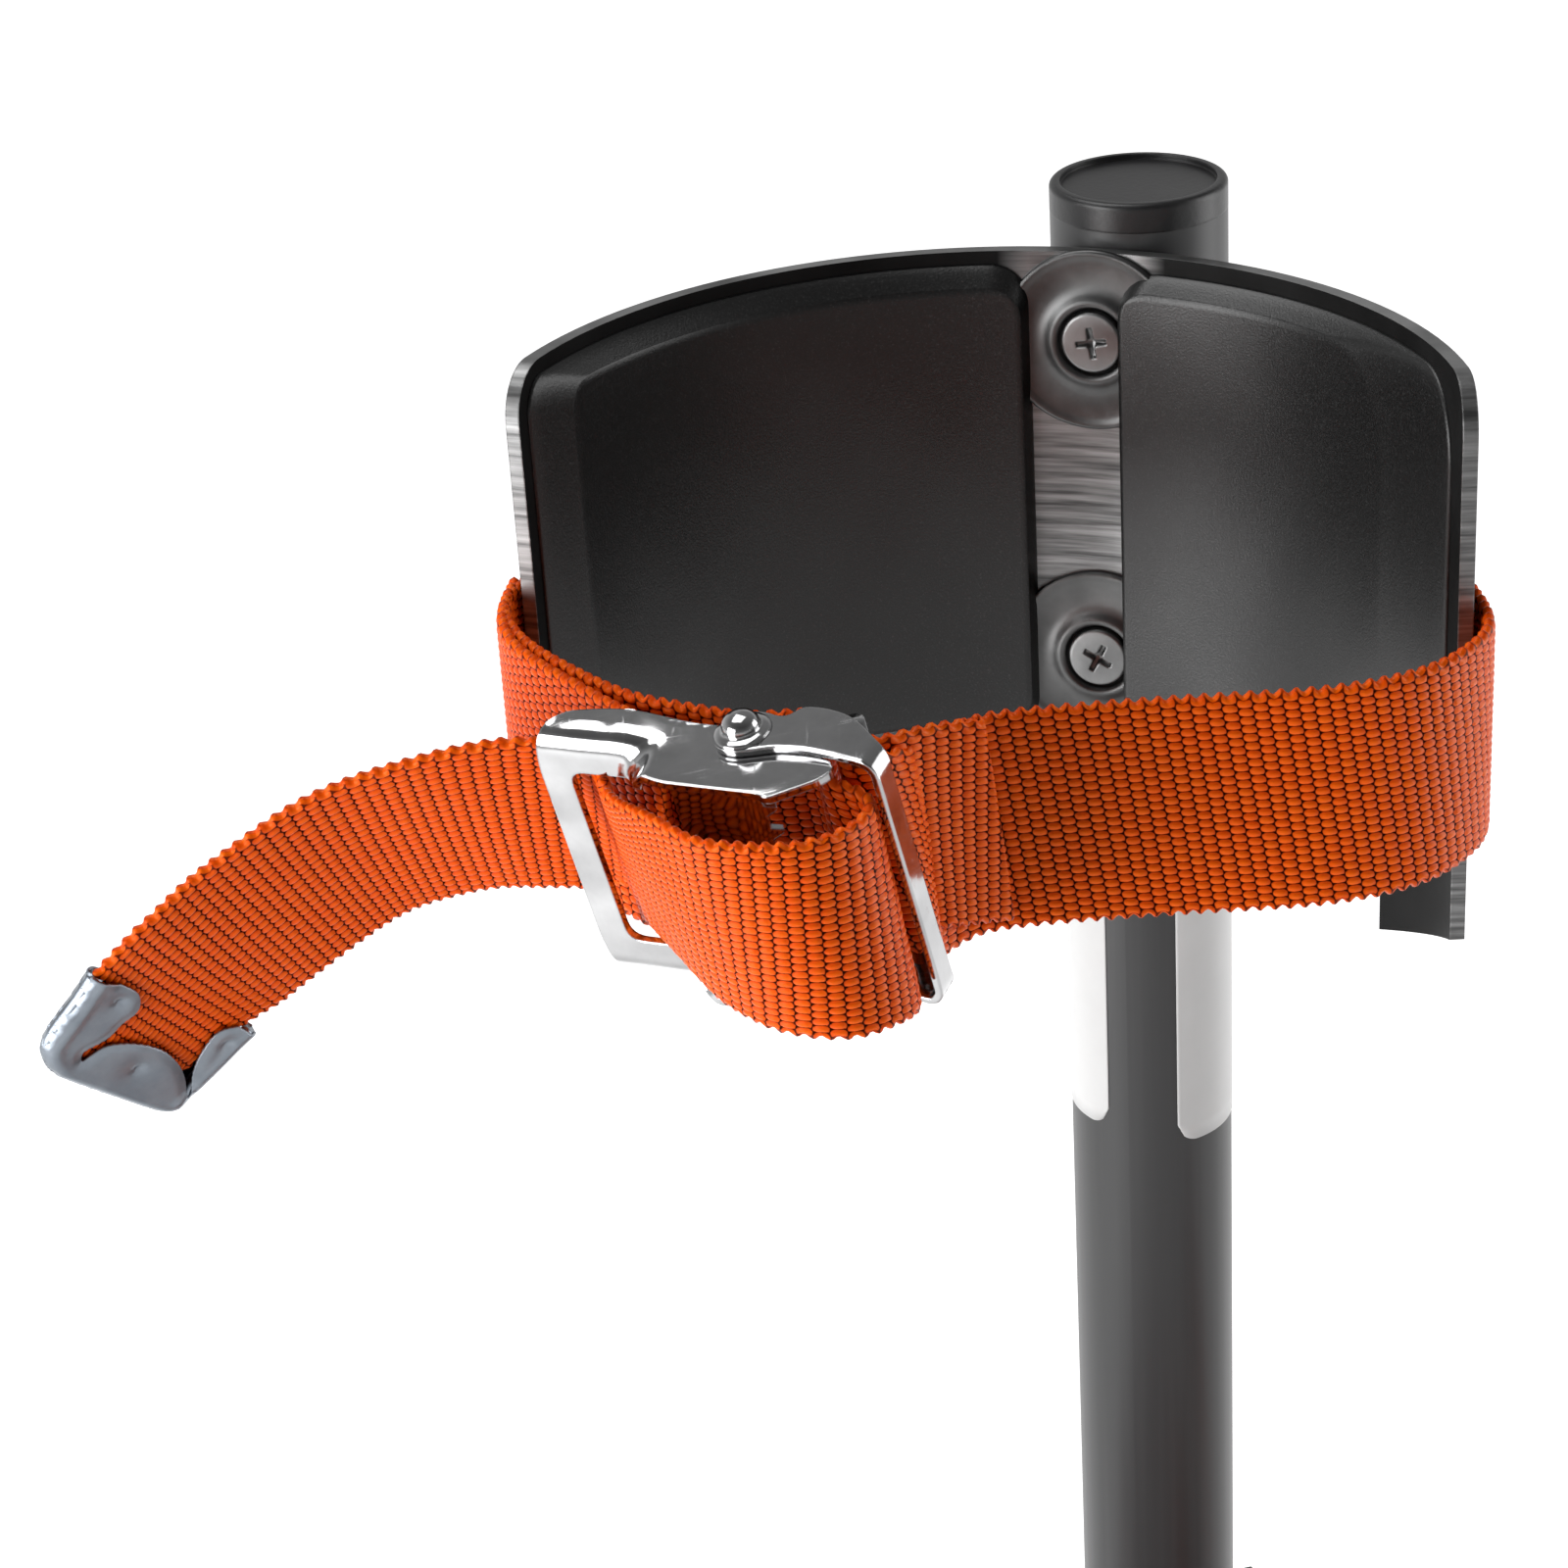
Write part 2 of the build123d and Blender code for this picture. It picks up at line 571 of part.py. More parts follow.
def calf_plate():
    inner = BAND_R - BAND_THICK
    part = sector(inner, BAND_R, BAND_RIGHT, BAND_LEFT, BAND_LOW, BAND_HIGH)
    part -= corner_cut(BAND_RIGHT, BAND_HIGH, -1, 1)
    part -= corner_cut(BAND_LEFT, BAND_HIGH, 1, 1)
    part -= corner_cut(BAND_LEFT, BAND_LOW, 1, -1)
    tab = sector(inner, BAND_R, BAND_RIGHT, TAB_FROM, TAB_LOW, BAND_LOW + 1)
    a = on_arc(BAND_R, BAND_RIGHT)
    b = on_arc(BAND_R, TAB_FROM)
    low_a = POLE_TOP + BAND_LOW
    low_b = POLE_TOP + TAB_LOW
    slope = make_face(Polyline((a[1] - 4, low_a), (b[1], low_b), (b[1], low_b - 30), (a[1] - 4, low_b - 30),
                               (a[1] - 4, low_a)))
    tab -= extrude(Plane(origin=(a[0] - 60, 0, 0), x_dir=(0, 1, 0), z_dir=(1, 0, 0)) * slope, 100)
    part += tab
    for z in (SCREW_HIGH, SCREW_LOW):
        part -= rod(on_arc(BAND_R - 6, SCREW_ANGLE, z), screw_direction(1), BOLT_HOLE_R, 12)
    return part


def pad(start, end):
    """One foam pad on the inside of the calf plate, hollowed where it covers a washer."""
    outer = BAND_R - BAND_THICK - 0.05
    part = sector(outer - PAD_THICK, outer, start, end, PAD_LOW, PAD_HIGH)
    for z in (SCREW_HIGH, SCREW_LOW):
        disc = rod(on_arc(outer - 8, SCREW_ANGLE, z), screw_direction(1), WASHER_R + 0.3, 12)
        skin = sector(outer - WASHER_THICK - 0.2, outer + 1, SCREW_ANGLE - 20, SCREW_ANGLE + 20, z - 25, z + 25)
        part -= disc & skin
    return part


def dish_washers():
    """Two large shallow dished washers under the screw heads."""
    inner = BAND_R - BAND_THICK - 0.05
    washers = []
    for z in (SCREW_HIGH, SCREW_LOW):
        disc = rod(on_arc(inner - 6, SCREW_ANGLE, z), screw_direction(1), WASHER_R, 12)
        skin = sector(inner - WASHER_THICK, inner, SCREW_ANGLE - 20, SCREW_ANGLE + 20, z - 25, z + 25)
        washers.append((disc & skin) - rod(on_arc(inner - 6, SCREW_ANGLE, z), screw_direction(1), BOLT_HOLE_R, 12))
    return washers


def band_screws():
    """Two cross-recessed machine screws with low round heads."""
    screws = []
    seat = BAND_R - BAND_THICK - WASHER_THICK - 0.3
    for z in (SCREW_HIGH, SCREW_LOW):
        start = on_arc(seat, SCREW_ANGLE, z)
        screw = rod(start, screw_direction(1), 3.0, 17) + dome(start, screw_direction(-1), 5.6, 2.4)
        a = math.radians(SCREW_ANGLE)
        plane = Plane(origin=start, x_dir=(-math.sin(a), math.cos(a), 0), z_dir=screw_direction(-1))
        for wide, tall in ((6.2, 1.1), (1.1, 6.2)):
            screw -= plane * Pos(0, 0, 1.0) * extrude(Rectangle(wide, tall), 3)
        screws.append(screw)
    return screws


def band_inserts():
    """Threaded inserts inside the leg tube that take the band screws."""
    inserts = []
    for z in (SCREW_HIGH, SCREW_LOW):
        start = on_arc(BAND_R + POLE_WALL + 3.8, SCREW_ANGLE, z)
        inserts.append(pipe(start, screw_direction(1), 5.5, BOLT_HOLE_R, 8))
    return inserts


# ---- cam buckles

def buckle_link():
    """Two side plates, the end bar and the pin that the sewn webbing loops round."""
    outline = [(-0.8, 2.2), (-1.2, 5.5), (0.6, 9.0), (3.6, 10.4), (9.0, 9.4), (10.5, 11.6), (18, 11.8),
               (25, 9.2), (30, 4.6), (30, 0.4), (21, 1.6), (12, 1.8), (5, 0.2), (-0.8, 2.2)]
    plate = make_face(Polyline(*outline))
    part = Part()
    for z in (FLANGE_Z + SHEET + 0.1, -FLANGE_Z - 2 * SHEET - 0.1):
        part += Pos(0, 0, z) * extrude(plate, SHEET)
    reach = FLANGE_Z + 2 * SHEET
    part += box(27.2, 30, 0.4, 4.6, -reach, reach)
    part += rod((*LINK_PIN, -reach), (0, 0, 1), LINK_PIN_R, 2 * reach)
    return part - rod((*PIVOT, -40), (0, 0, 1), 2.05, 80)


def buckle_lever():
    """The lever: a front bar, two side flanges and the toothed cam bar."""
    flange = make_face(Polyline((-32, 0.2), (-32, 3.5), (-28, 7.2), (-20, 8), (8, 8), (12, 7.2), (16.6, 2.6),
                                (20, 1), (20.8, -0.8), (19.6, -3), (13, -8.2), (11, -7.2), (-6, -6.8),
                                (-10, -4.5), (-20, 0.2), (-32, 0.2)))
    part = Part()
    for z in (FLANGE_Z, -FLANGE_Z - SHEET):
        part += Pos(0, 0, z) * extrude(flange, SHEET)
    reach = FLANGE_Z + SHEET
    part += box(-32, -27, 0.2, 1.8, -reach, reach)
    part += box(-2.5, 9.5, -4.6, -3.2, -reach, reach)
    for i in range(9):
        z = (i - 4) * 4.6
        part += box(8, 11, -4.6, -3.2, z - 1.4, z + 1.4)
    return part - rod((*PIVOT, -40), (0, 0, 1), 2.05, 80)


def buckle_rivets():
    """The two rivets that join the lever's flanges to the link."""
    top = FLANGE_Z + 2 * SHEET + 0.1
    rivets = []
    for up in (-1, 1):
        start = (*PIVOT, up * (FLANGE_Z - 0.6))
        rivet = rod(start, (0, 0, up), 2.0, top - FLANGE_Z + 0.6)
        rivet += dome((*PIVOT, up * (FLANGE_Z - 0.1)), (0, 0, -up), 3.6, 1.2)
        rivets.append(rivet + dome((*PIVOT, up * top), (0, 0, up), 3.1, 2.4))
    return rivets


def calf_buckle_frame():
    """Where the calf buckle lies: turned, rolled and pitched as the slack strap holds it."""
    origin = at_calf(*CALF_BUCKLE)
    return Location(Plane(origin=origin, x_dir=(0.881, -0.466, 0.084), z_dir=(-0.190, -0.185, 0.964)))


def in_buckle(x, y, high, low):
    """A station of webbing that passes through the calf buckle, given in the buckle's own frame."""
    frame = calf_buckle_frame()
    ends = [(frame * Pos(x, y, z)).position for z in (high, low)]
    return tuple((p.X, p.Y, p.Z) for p in ends)


def twisted(top, bottom):
    """A station whose two edges are at different places in the buckle's own frame."""
    frame = calf_buckle_frame()
    ends = [(frame * Pos(*p)).position for p in (top, bottom)]
    return tuple((p.X, p.Y, p.Z) for p in ends)


def toe_buckle_frame():
    return Location(Plane(origin=(TOE_X, -26, 698.5), x_dir=(0, 0.93, 0.367), z_dir=(-1, 0, 0)))


def ankle_buckle_frame():
    return Location(Plane(origin=(*ANKLE_BUCKLE, ANKLE_Z), x_dir=(1, 0.10, 0), z_dir=(0, 0, 1)))


def placed(shape, frame):
    """A buckle piece, or a list of them, moved to where its buckle lies."""
    if isinstance(shape, list):
        return [frame * piece for piece in shape]
    return frame * shape


# ---- webbing

def level(x, y):
    """A vertical station of the calf strap at a plan point."""
    return (at_calf(x, y, WEB_HIGH), at_calf(x, y, WEB_LOW))


def leaning(top, bottom):
    return (at_calf(*top), at_calf(*bottom))


def around_back():
    """Plan points of the strap behind the plate and round the leg tube."""
    strap_r = BAND_R + 2.3
    tube_r = POLE_R + 1.3
    gap = math.hypot(BAND_CX, BAND_CY)
    spread = math.degrees(math.acos((strap_r - tube_r) / gap))
    first = TUBE_ANGLE - spread
    second = TUBE_ANGLE + spread
    places = [(BAND_CX, BAND_CY, strap_r, a) for a in (8, 14, first)]
    places += [(0, 0, tube_r, first + i * (second - first) / 6) for i in range(7)]
    places += [(BAND_CX, BAND_CY, strap_r, second + i * (155 - second) / 4) for i in range(5)]
    return [(cx + r * math.cos(math.radians(a)), cy + r * math.sin(math.radians(a))) for cx, cy, r, a in places]


def calf_strap():
    """The main run: from the link's pin, round plate and tube, back to the buckle and its slack loop."""
    front = [(-40, -119.6), (-33, -117.4), (-20, -116.6), (0, -116), (16, -115.6), (27, -113.4),
             (36, -109), (43, -102), (47.4, -93)]
    left = [(-112.4, -63.6), (-111.4, -73), (-107, -83), (-99, -94.2), (-89.4, -104.4)]
    stations = [in_buckle(20, 12.8, 19, -19), in_buckle(20.6, 17.6, 16.6, -21.4)]
    stations += [level(x, y) for x, y in front + around_back() + left]
    stations += [leaning((-80, -110.6, -46.6), (-78.6, -106.6, -84.4)),
                 leaning((-70, -115.6, -46), (-68.6, -111.6, -84)),
                 leaning((-62, -118, -45), (-60.8, -114.4, -83))]
    return ribbon(stations + slack_loop())


def slack_loop():
    """The slack that comes forward through the buckle and stands out in front, down to its crease."""
    through = [((6.6, 19.4, 15.2), (5.6, 14.4, -22.4)), ((10.6, 16.2, 17), (9.2, 9.2, -20.4)),
               ((12.6, 12.4, 17.8), (11.6, 4.6, -19.8)), ((13.6, 8.2, 17.8), (13.6, 1.6, -20)),
               ((16.2, 4.4, 17.2), (16.6, -1.4, -20.4)), ((20.4, 3.2, 16.6), (20.6, -1.4, -21.2)),
               ((23.4, 0.8, 16.4), (23.2, -2.8, -21.4)), ((24.2, -3.6, 17.2), (23.8, -5.8, -20.6)),
               ((22.8, -9.2, 18.8), (22.5, -9.8, -19.2)), ((18.2, -14.4, 20.6), (18.7, -14.7, -17.5))]
    loose = [((-73.6, -157.1, -47), (-67.4, -148.9, -84.1)), ((-79.4, -154.2, -47.1), (-72.6, -144.4, -84.1)),
             ((-84.3, -148, -47.4), (-77.6, -137.6, -83.9)), ((-88.8, -141.6, -48.3), (-82.8, -127.4, -83)),
             ((-91.9, -135.6, -49.6), (-87, -118.4, -82.8)), ((-93.5, -130, -50.6), (-89.6, -112, -83.2))]
    return [twisted(*pair) for pair in through] + [leaning(*pair) for pair in loose]


def calf_strap_tail():
    """The free end, leaning and drooping behind the lever's bar to its metal tip."""
    pairs = [((-94.4, -121.6, -50.2), (-91.4, -105, -83.4)), ((-101.6, -117, -47.4), (-97.8, -101.6, -82)),
             ((-114.8, -116.6, -49), (-108, -100, -82.5)), ((-124.4, -115, -51.5), (-116.4, -97, -83.9)),
             ((-134.2, -113.6, -55), (-125.7, -94.7, -86.8)), ((-144.1, -112.7, -59.6), (-135.3, -93.3, -91.1)),
             ((-154.4, -111.9, -66.5), (-145.1, -93.4, -98.4)), ((-163.1, -111.6, -72.8), (-153.3, -93.4, -104.7)),
             ((-173.7, -112.9, -81.9), (-160.9, -92.3, -111.2)), ((-181, -112.2, -90), (-170, -95, -117))]
    return ribbon([leaning(*pair) for pair in pairs])


def calf_strap_tip():
    """The folded metal end, two thin leaves over the webbing's end."""
    pairs = [((-182, -112.2, -91.2), (-171, -95.4, -118.4)), ((-187.5, -110.5, -99.8), (-178, -99, -117.6)),
             ((-190.5, -108.4, -107.2), (-186, -103.6, -114.6))]
    return ribbon([leaning(*pair) for pair in pairs], 3.2)


def toe_strap():
    """An arch over the boot's toe, clamped to both lips of the foot plate."""
    half = WEB_WIDTH / 2
    arch = [(-48.7, 596), (-48.9, 612), (-51.5, 640), (-50.5, 662), (-42, 682), (-24, 696), (0, 701),
            (24, 696), (42, 682), (50.5, 662), (51.5, 640), (48.9, 612), (48.7, 596)]
    return ribbon([((TOE_X - half, y, z), (TOE_X + half, y, z)) for y, z in arch])


def ankle_strap():
    """A loop round the heel cup and the front of the ankle."""
    rear_r = HEEL_R + WEB_THICK / 2 + 0.3
    rear = [math.radians(180 - 7.5 * i) for i in range(12)]
    half = [(HEEL_X + rear_r * math.cos(a), rear_r * math.sin(a)) for a in rear]
    half += [(-60, 49.6), (-30, 49.6), (-6, 44), (12, 30), (20, 10)]
    path = half + [(x, -y) for x, y in reversed(half[1:])]
    high = ANKLE_Z + WEB_WIDTH / 2
    return ribbon([((x, y, high), (x, y, high - WEB_WIDTH)) for x, y in path])


def strap_clips():
    """Two small plates that clamp the toe strap's ends to the foot plate's lips."""
    clips = []
    for side in (-1, 1):
        y0, y1 = sorted((side * 49.9, side * 51.7))
        clips.append(box(TOE_X - 22, TOE_X + 22, y0, y1, 596, 607))
    return clips


def save(name, shape):
    """Write one sub-part; a list is a group of separate solids."""
    part = Compound(children=shape) if isinstance(shape, list) else shape
    export_step(part, f"parts/{name}.step")


def build():
    """Write every sub-part of the stilt."""
    os.makedirs("parts", exist_ok=True)
    save("rubber_sole", rubber_sole())
    save("floor_plate", floor_plate())
    save("base_brackets", base_brackets())
    save("base_rivets", base_rivets())
    save("base_pivot_bolts", pivot_bolts(BASE_PIVOT_Z))
    save("base_pivot_nuts", pivot_nuts(BASE_PIVOT_Z))
    save("spring_bracket", spring_bracket())
    for end, x in (("front", STRUT_X), ("rear", -STRUT_X)):
        save(f"{end}_spring", spring(x))
        save(f"{end}_strut_foot", strut_foot(x))
        save(f"{end}_lower_tube", lower_tube(x))
        save(f"{end}_spring_collar", spring_collar(x))
        save(f"{end}_height_clamp", height_clamp(x))
        save(f"{end}_clamp_bolt", height_clamp_bolt(x))
        save(f"{end}_wing_nut", height_wing_nut(x))
        save(f"{end}_upper_tube", upper_tube(x))
        save(f"{end}_strut_head", strut_head(x))
    save("foot_plate", foot_plate())
    save("foot_brackets", foot_brackets())
    save("foot_rivets", foot_rivets() + heel_rivets())
    save("foot_pivot_bolts", pivot_bolts(FOOT_PIVOT_Z))
    save("foot_pivot_nuts", pivot_nuts(FOOT_PIVOT_Z))
    save("heel_cup", heel_cup())
    save("side_bracket", side_bracket())
    save("side_bolts", side_bolts() + pole_clamp_screws())
    save("pole_clamp", pole_clamp())
    save("pole_clamp_bolt", pole_clamp_bolt())
    save("pole_wing_nut", pole_wing_nut())
    save("pole_sleeve", pole_sleeve())
    save("leg_tube", leg_tube())
    save("tube_cap", tube_cap())
    save("calf_plate", calf_plate())
    save("front_pad", pad(4.6, 66.2))
    save("rear_pad", pad(79.4, 157.5))
    save("dish_washers", dish_washers())
    save("band_screws", band_screws())
    save("band_inserts", band_inserts())
    save("calf_strap", calf_strap())
    save("calf_strap_tail", calf_strap_tail())
    save("calf_strap_tip", calf_strap_tip())
    save("toe_strap", toe_strap())
    save("ankle_strap", ankle_strap())
    save("strap_clips", strap_clips())
    frames = {"calf": calf_buckle_frame(), "toe": toe_buckle_frame(), "ankle": ankle_buckle_frame()}
    for name, frame in frames.items():
        save(f"{name}_buckle_link", placed(buckle_link(), frame))
        save(f"{name}_buckle_lever", placed(buckle_lever(), frame))
    save("calf_buckle_rivets", placed(buckle_rivets(), frames["calf"]))
    save("foot_buckle_rivets", placed(buckle_rivets(), frames["toe"]) + placed(buckle_rivets(), frames["ankle"]))


build()
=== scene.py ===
import json
import math

import bpy
import numpy as np
from mathutils import Matrix, Vector
from mathutils.geometry import delaunay_2d_cdt


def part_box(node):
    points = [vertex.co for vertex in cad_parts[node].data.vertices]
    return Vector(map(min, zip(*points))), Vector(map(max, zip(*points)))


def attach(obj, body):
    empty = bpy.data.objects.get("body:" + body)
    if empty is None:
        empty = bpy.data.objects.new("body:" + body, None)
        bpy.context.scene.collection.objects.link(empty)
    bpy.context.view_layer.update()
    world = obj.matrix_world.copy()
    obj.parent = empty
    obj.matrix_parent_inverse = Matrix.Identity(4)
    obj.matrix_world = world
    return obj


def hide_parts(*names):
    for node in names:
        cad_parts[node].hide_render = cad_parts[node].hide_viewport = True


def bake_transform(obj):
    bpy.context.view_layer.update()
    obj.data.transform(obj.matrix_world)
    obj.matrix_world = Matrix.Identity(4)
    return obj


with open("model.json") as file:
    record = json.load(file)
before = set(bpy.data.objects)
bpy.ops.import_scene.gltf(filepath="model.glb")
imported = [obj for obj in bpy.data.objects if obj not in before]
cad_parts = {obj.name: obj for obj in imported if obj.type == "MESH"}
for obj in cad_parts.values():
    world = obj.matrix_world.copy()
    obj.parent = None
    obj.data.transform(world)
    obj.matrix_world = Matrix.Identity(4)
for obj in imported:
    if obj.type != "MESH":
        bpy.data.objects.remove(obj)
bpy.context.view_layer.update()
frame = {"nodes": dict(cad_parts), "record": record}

MM = 0.001
CAP_LOW, CAP_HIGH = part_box("tube_cap")
TUBE = Vector(((CAP_LOW.x + CAP_HIGH.x) / 2, (CAP_LOW.y + CAP_HIGH.y) / 2, CAP_HIGH.z))
TUBE_R = (CAP_HIGH.x - CAP_LOW.x) / 2 / MM

# The calf plate's axis from the leg tube's axis and its outer and inner radii, in millimetres, and the
# direction of the gap between its two pads.
BAND_CX, BAND_CY = -34.8, -89.4
BAND_R = 80.05
PLATE_IN = BAND_R - 2.5
PAD_GAP = math.radians(72.3)


def calf(x, y, z):
    """A point given in millimetres from the leg tube's axis and the top of its cap."""
    return Vector((x * MM, y * MM, z * MM)) + TUBE


# ------------------------ materials

class Nodes:
    """A node tree with short names for what is wired again and again."""

    def __init__(self, tree, shader):
        self.tree = tree
        self.shader = tree.nodes[shader]

    def node(self, kind, **values):
        made = self.tree.nodes.new(kind)
        for key, value in values.items():
            setattr(made, key, value)
        return made

    def feed(self, socket, value):
        """Links another node's output to a socket, or writes a plain value into it."""
        if isinstance(value, bpy.types.NodeSocket):
            self.tree.links.new(value, socket)
        else:
            socket.default_value = value

    def set(self, name, value):
        self.feed(self.shader.inputs[name], value)

    def coordinates(self, kind):
        return self.node("ShaderNodeTexCoord").outputs[kind]

    def split(self, vector):
        made = self.node("ShaderNodeSeparateXYZ")
        self.feed(made.inputs[0], vector)
        return made.outputs

    def plane(self, x, y):
        """A vector of two values."""
        made = self.node("ShaderNodeCombineXYZ")
        self.feed(made.inputs[0], x)
        self.feed(made.inputs[1], y)
        return made.outputs[0]

    def maths(self, operation, a, b=0.0):
        made = self.node("ShaderNodeMath", operation=operation)
        self.feed(made.inputs[0], a)
        self.feed(made.inputs[1], b)
        return made.outputs[0]

    def vector_maths(self, operation, a, b=(0, 0, 0)):
        made = self.node("ShaderNodeVectorMath", operation=operation)
        self.feed(made.inputs[0], a)
        self.feed(made.inputs[1], b)
        return made.outputs

    def between(self, value, low, high, start=0.0, end=1.0):
        """A value from start to end mapped to the range from low to high."""
        made = self.node("ShaderNodeMapRange")
        self.feed(made.inputs["Value"], value)
        for key, limit in (("From Min", start), ("From Max", end), ("To Min", low), ("To Max", high)):
            self.feed(made.inputs[key], limit)
        return made.outputs["Result"]

    def mix(self, factor, a, b, blend="MIX"):
        made = self.node("ShaderNodeMix", data_type="RGBA", blend_type=blend)
        for index, value in ((0, factor), (6, a), (7, b)):
            self.feed(made.inputs[index], (*value, 1) if isinstance(value, tuple) else value)
        return made.outputs[2]


class Look(Nodes):
    """A surface whose grain is read in object coordinates."""

    def __init__(self, name, metallic=0.0):
        self.mat = bpy.data.materials.new(name)
        self.mat.use_nodes = True
        super().__init__(self.mat.node_tree, "Principled BSDF")
        self.set("Metallic", metallic)
        self.place = self.coordinates("Object")

    def stretched(self, scale):
        """Object coordinates scaled by three numbers, for grain that runs one way."""
        mapping = self.node("ShaderNodeMapping")
        self.feed(mapping.inputs["Scale"], scale)
        self.feed(mapping.inputs["Vector"], self.place)
        return mapping.outputs["Vector"]

    def noise(self, scale, detail=3.0, roughness=0.55, place=None):
        made = self.node("ShaderNodeTexNoise")
        self.feed(made.inputs["Scale"], scale)
        self.feed(made.inputs["Detail"], detail)
        self.feed(made.inputs["Roughness"], roughness)
        self.feed(made.inputs["Vector"], place or self.place)
        return made.outputs["Fac"]

    def ramp(self, value, stops):
        """Greys or colours at positions along a value."""
        made = self.node("ShaderNodeValToRGB")
        elements = made.color_ramp.elements
        while len(elements) < len(stops):
            elements.new(0.5)
        for element, (position, colour) in zip(elements, stops):
            element.position = position
            element.color = (*colour, 1) if isinstance(colour, tuple) else (colour, colour, colour, 1)
        self.feed(made.inputs["Fac"], value)
        return made.outputs["Color"]

    def relief(self, value, strength, distance, normal=None):
        """A normal pushed in and out by a value, by up to a distance in millimetres."""
        made = self.node("ShaderNodeBump")
        self.feed(made.inputs["Strength"], strength)
        self.feed(made.inputs["Distance"], distance * MM)
        self.feed(made.inputs["Height"], value)
        if normal:
            self.feed(made.inputs["Normal"], normal)
        return made.outputs["Normal"]

    def bump(self, value, strength, distance, normal=None):
        self.set("Normal", self.relief(value, strength, distance, normal))

    def round_edges(self, radius):
        """The normal of a small worn radius on sharp machined edges."""
        made = self.node("ShaderNodeBevel", samples=4)
        self.feed(made.inputs["Radius"], radius * MM)
        return made.outputs["Normal"]

    def attribute(self, name):
        return self.node("ShaderNodeAttribute", attribute_name=name).outputs["Fac"]


def aluminium(name, dark, light, grain, roughness):
    """Drawn or rolled aluminium whose fine lines run the long way of its grain."""
    look = Look(name, metallic=1.0)
    lines = look.noise(900, detail=4, place=look.stretched(grain))
    cloud = look.noise(38, detail=4)
    tone = look.mix(0.35, look.ramp(lines, [(0.3, dark), (0.7, light)]),
                    look.ramp(cloud, [(0.3, dark), (0.75, light)]))
    look.set("Base Color", tone)
    look.set("Roughness", look.between(look.mix(0.5, lines, cloud), roughness - 0.09, roughness + 0.12))
    look.bump(lines, 0.16, 0.12, look.round_edges(0.5))
    return look.mat


def plated_steel(name, dark, light, roughness, scratch, dents=0.0):
    """Bright plated steel with fine scratches in two directions, dull patches and soft press marks."""
    look = Look(name, metallic=1.0)
    one = look.noise(1500, detail=2, place=look.stretched((1, 0.06, 0.35)))
    two = look.noise(1300, detail=2, place=look.stretched((0.07, 0.9, 0.12)))
    marks = look.ramp(look.maths("MAXIMUM", one, two), [(0.62, 0), (0.76, 1)])
    cloud = look.noise(70, detail=5, roughness=0.6)
    look.set("Base Color", look.ramp(cloud, [(0.3, dark), (0.7, light)]))
    base = look.between(cloud, roughness * 0.7, roughness * 1.35)
    look.set("Roughness", look.maths("ADD", base, look.maths("MULTIPLY", marks, scratch)))
    pressed_in = look.relief(look.noise(75, detail=1), dents, 2.5, look.round_edges(0.5))
    look.bump(marks, 0.06, 0.05, pressed_in)
    return look.mat


def moulded(name, colour, roughness, grain, depth):
    """Moulded plastic or rubber with a fine matt grain and faint dusty patches."""
    look = Look(name)
    fine = look.noise(grain, detail=3, roughness=0.6)
    cloud = look.noise(28, detail=5)
    dusty = tuple(c * 1.9 + 0.006 for c in colour)
    look.set("Base Color", look.mix(look.ramp(cloud, [(0.42, 0), (0.8, 0.8)]), colour, dusty))
    look.set("Roughness", look.between(cloud, roughness - 0.07, roughness + 0.10))
    look.bump(fine, 0.35, depth, look.round_edges(0.6))
    return look.mat


def leg_tube_paint():
    """Satin dark grey powder coat: faint orange peel and fine lengthwise rub marks."""
    look = Look("leg_tube_grey")
    peel = look.noise(1400, detail=2)
    rubs = look.noise(420, detail=3, place=look.stretched((1, 1, 0.02)))
    rubbed = look.ramp(rubs, [(0.45, 0), (0.75, 0.6)])
    look.set("Base Color", look.mix(rubbed, (0.040, 0.040, 0.041), (0.052, 0.052, 0.053)))
    look.set("Metallic", 0.15)
    look.set("Roughness", look.between(rubs, 0.36, 0.44))
    look.set("Specular IOR Level", 0.5)
    look.bump(peel, 0.08, 0.04)
    return look.mat


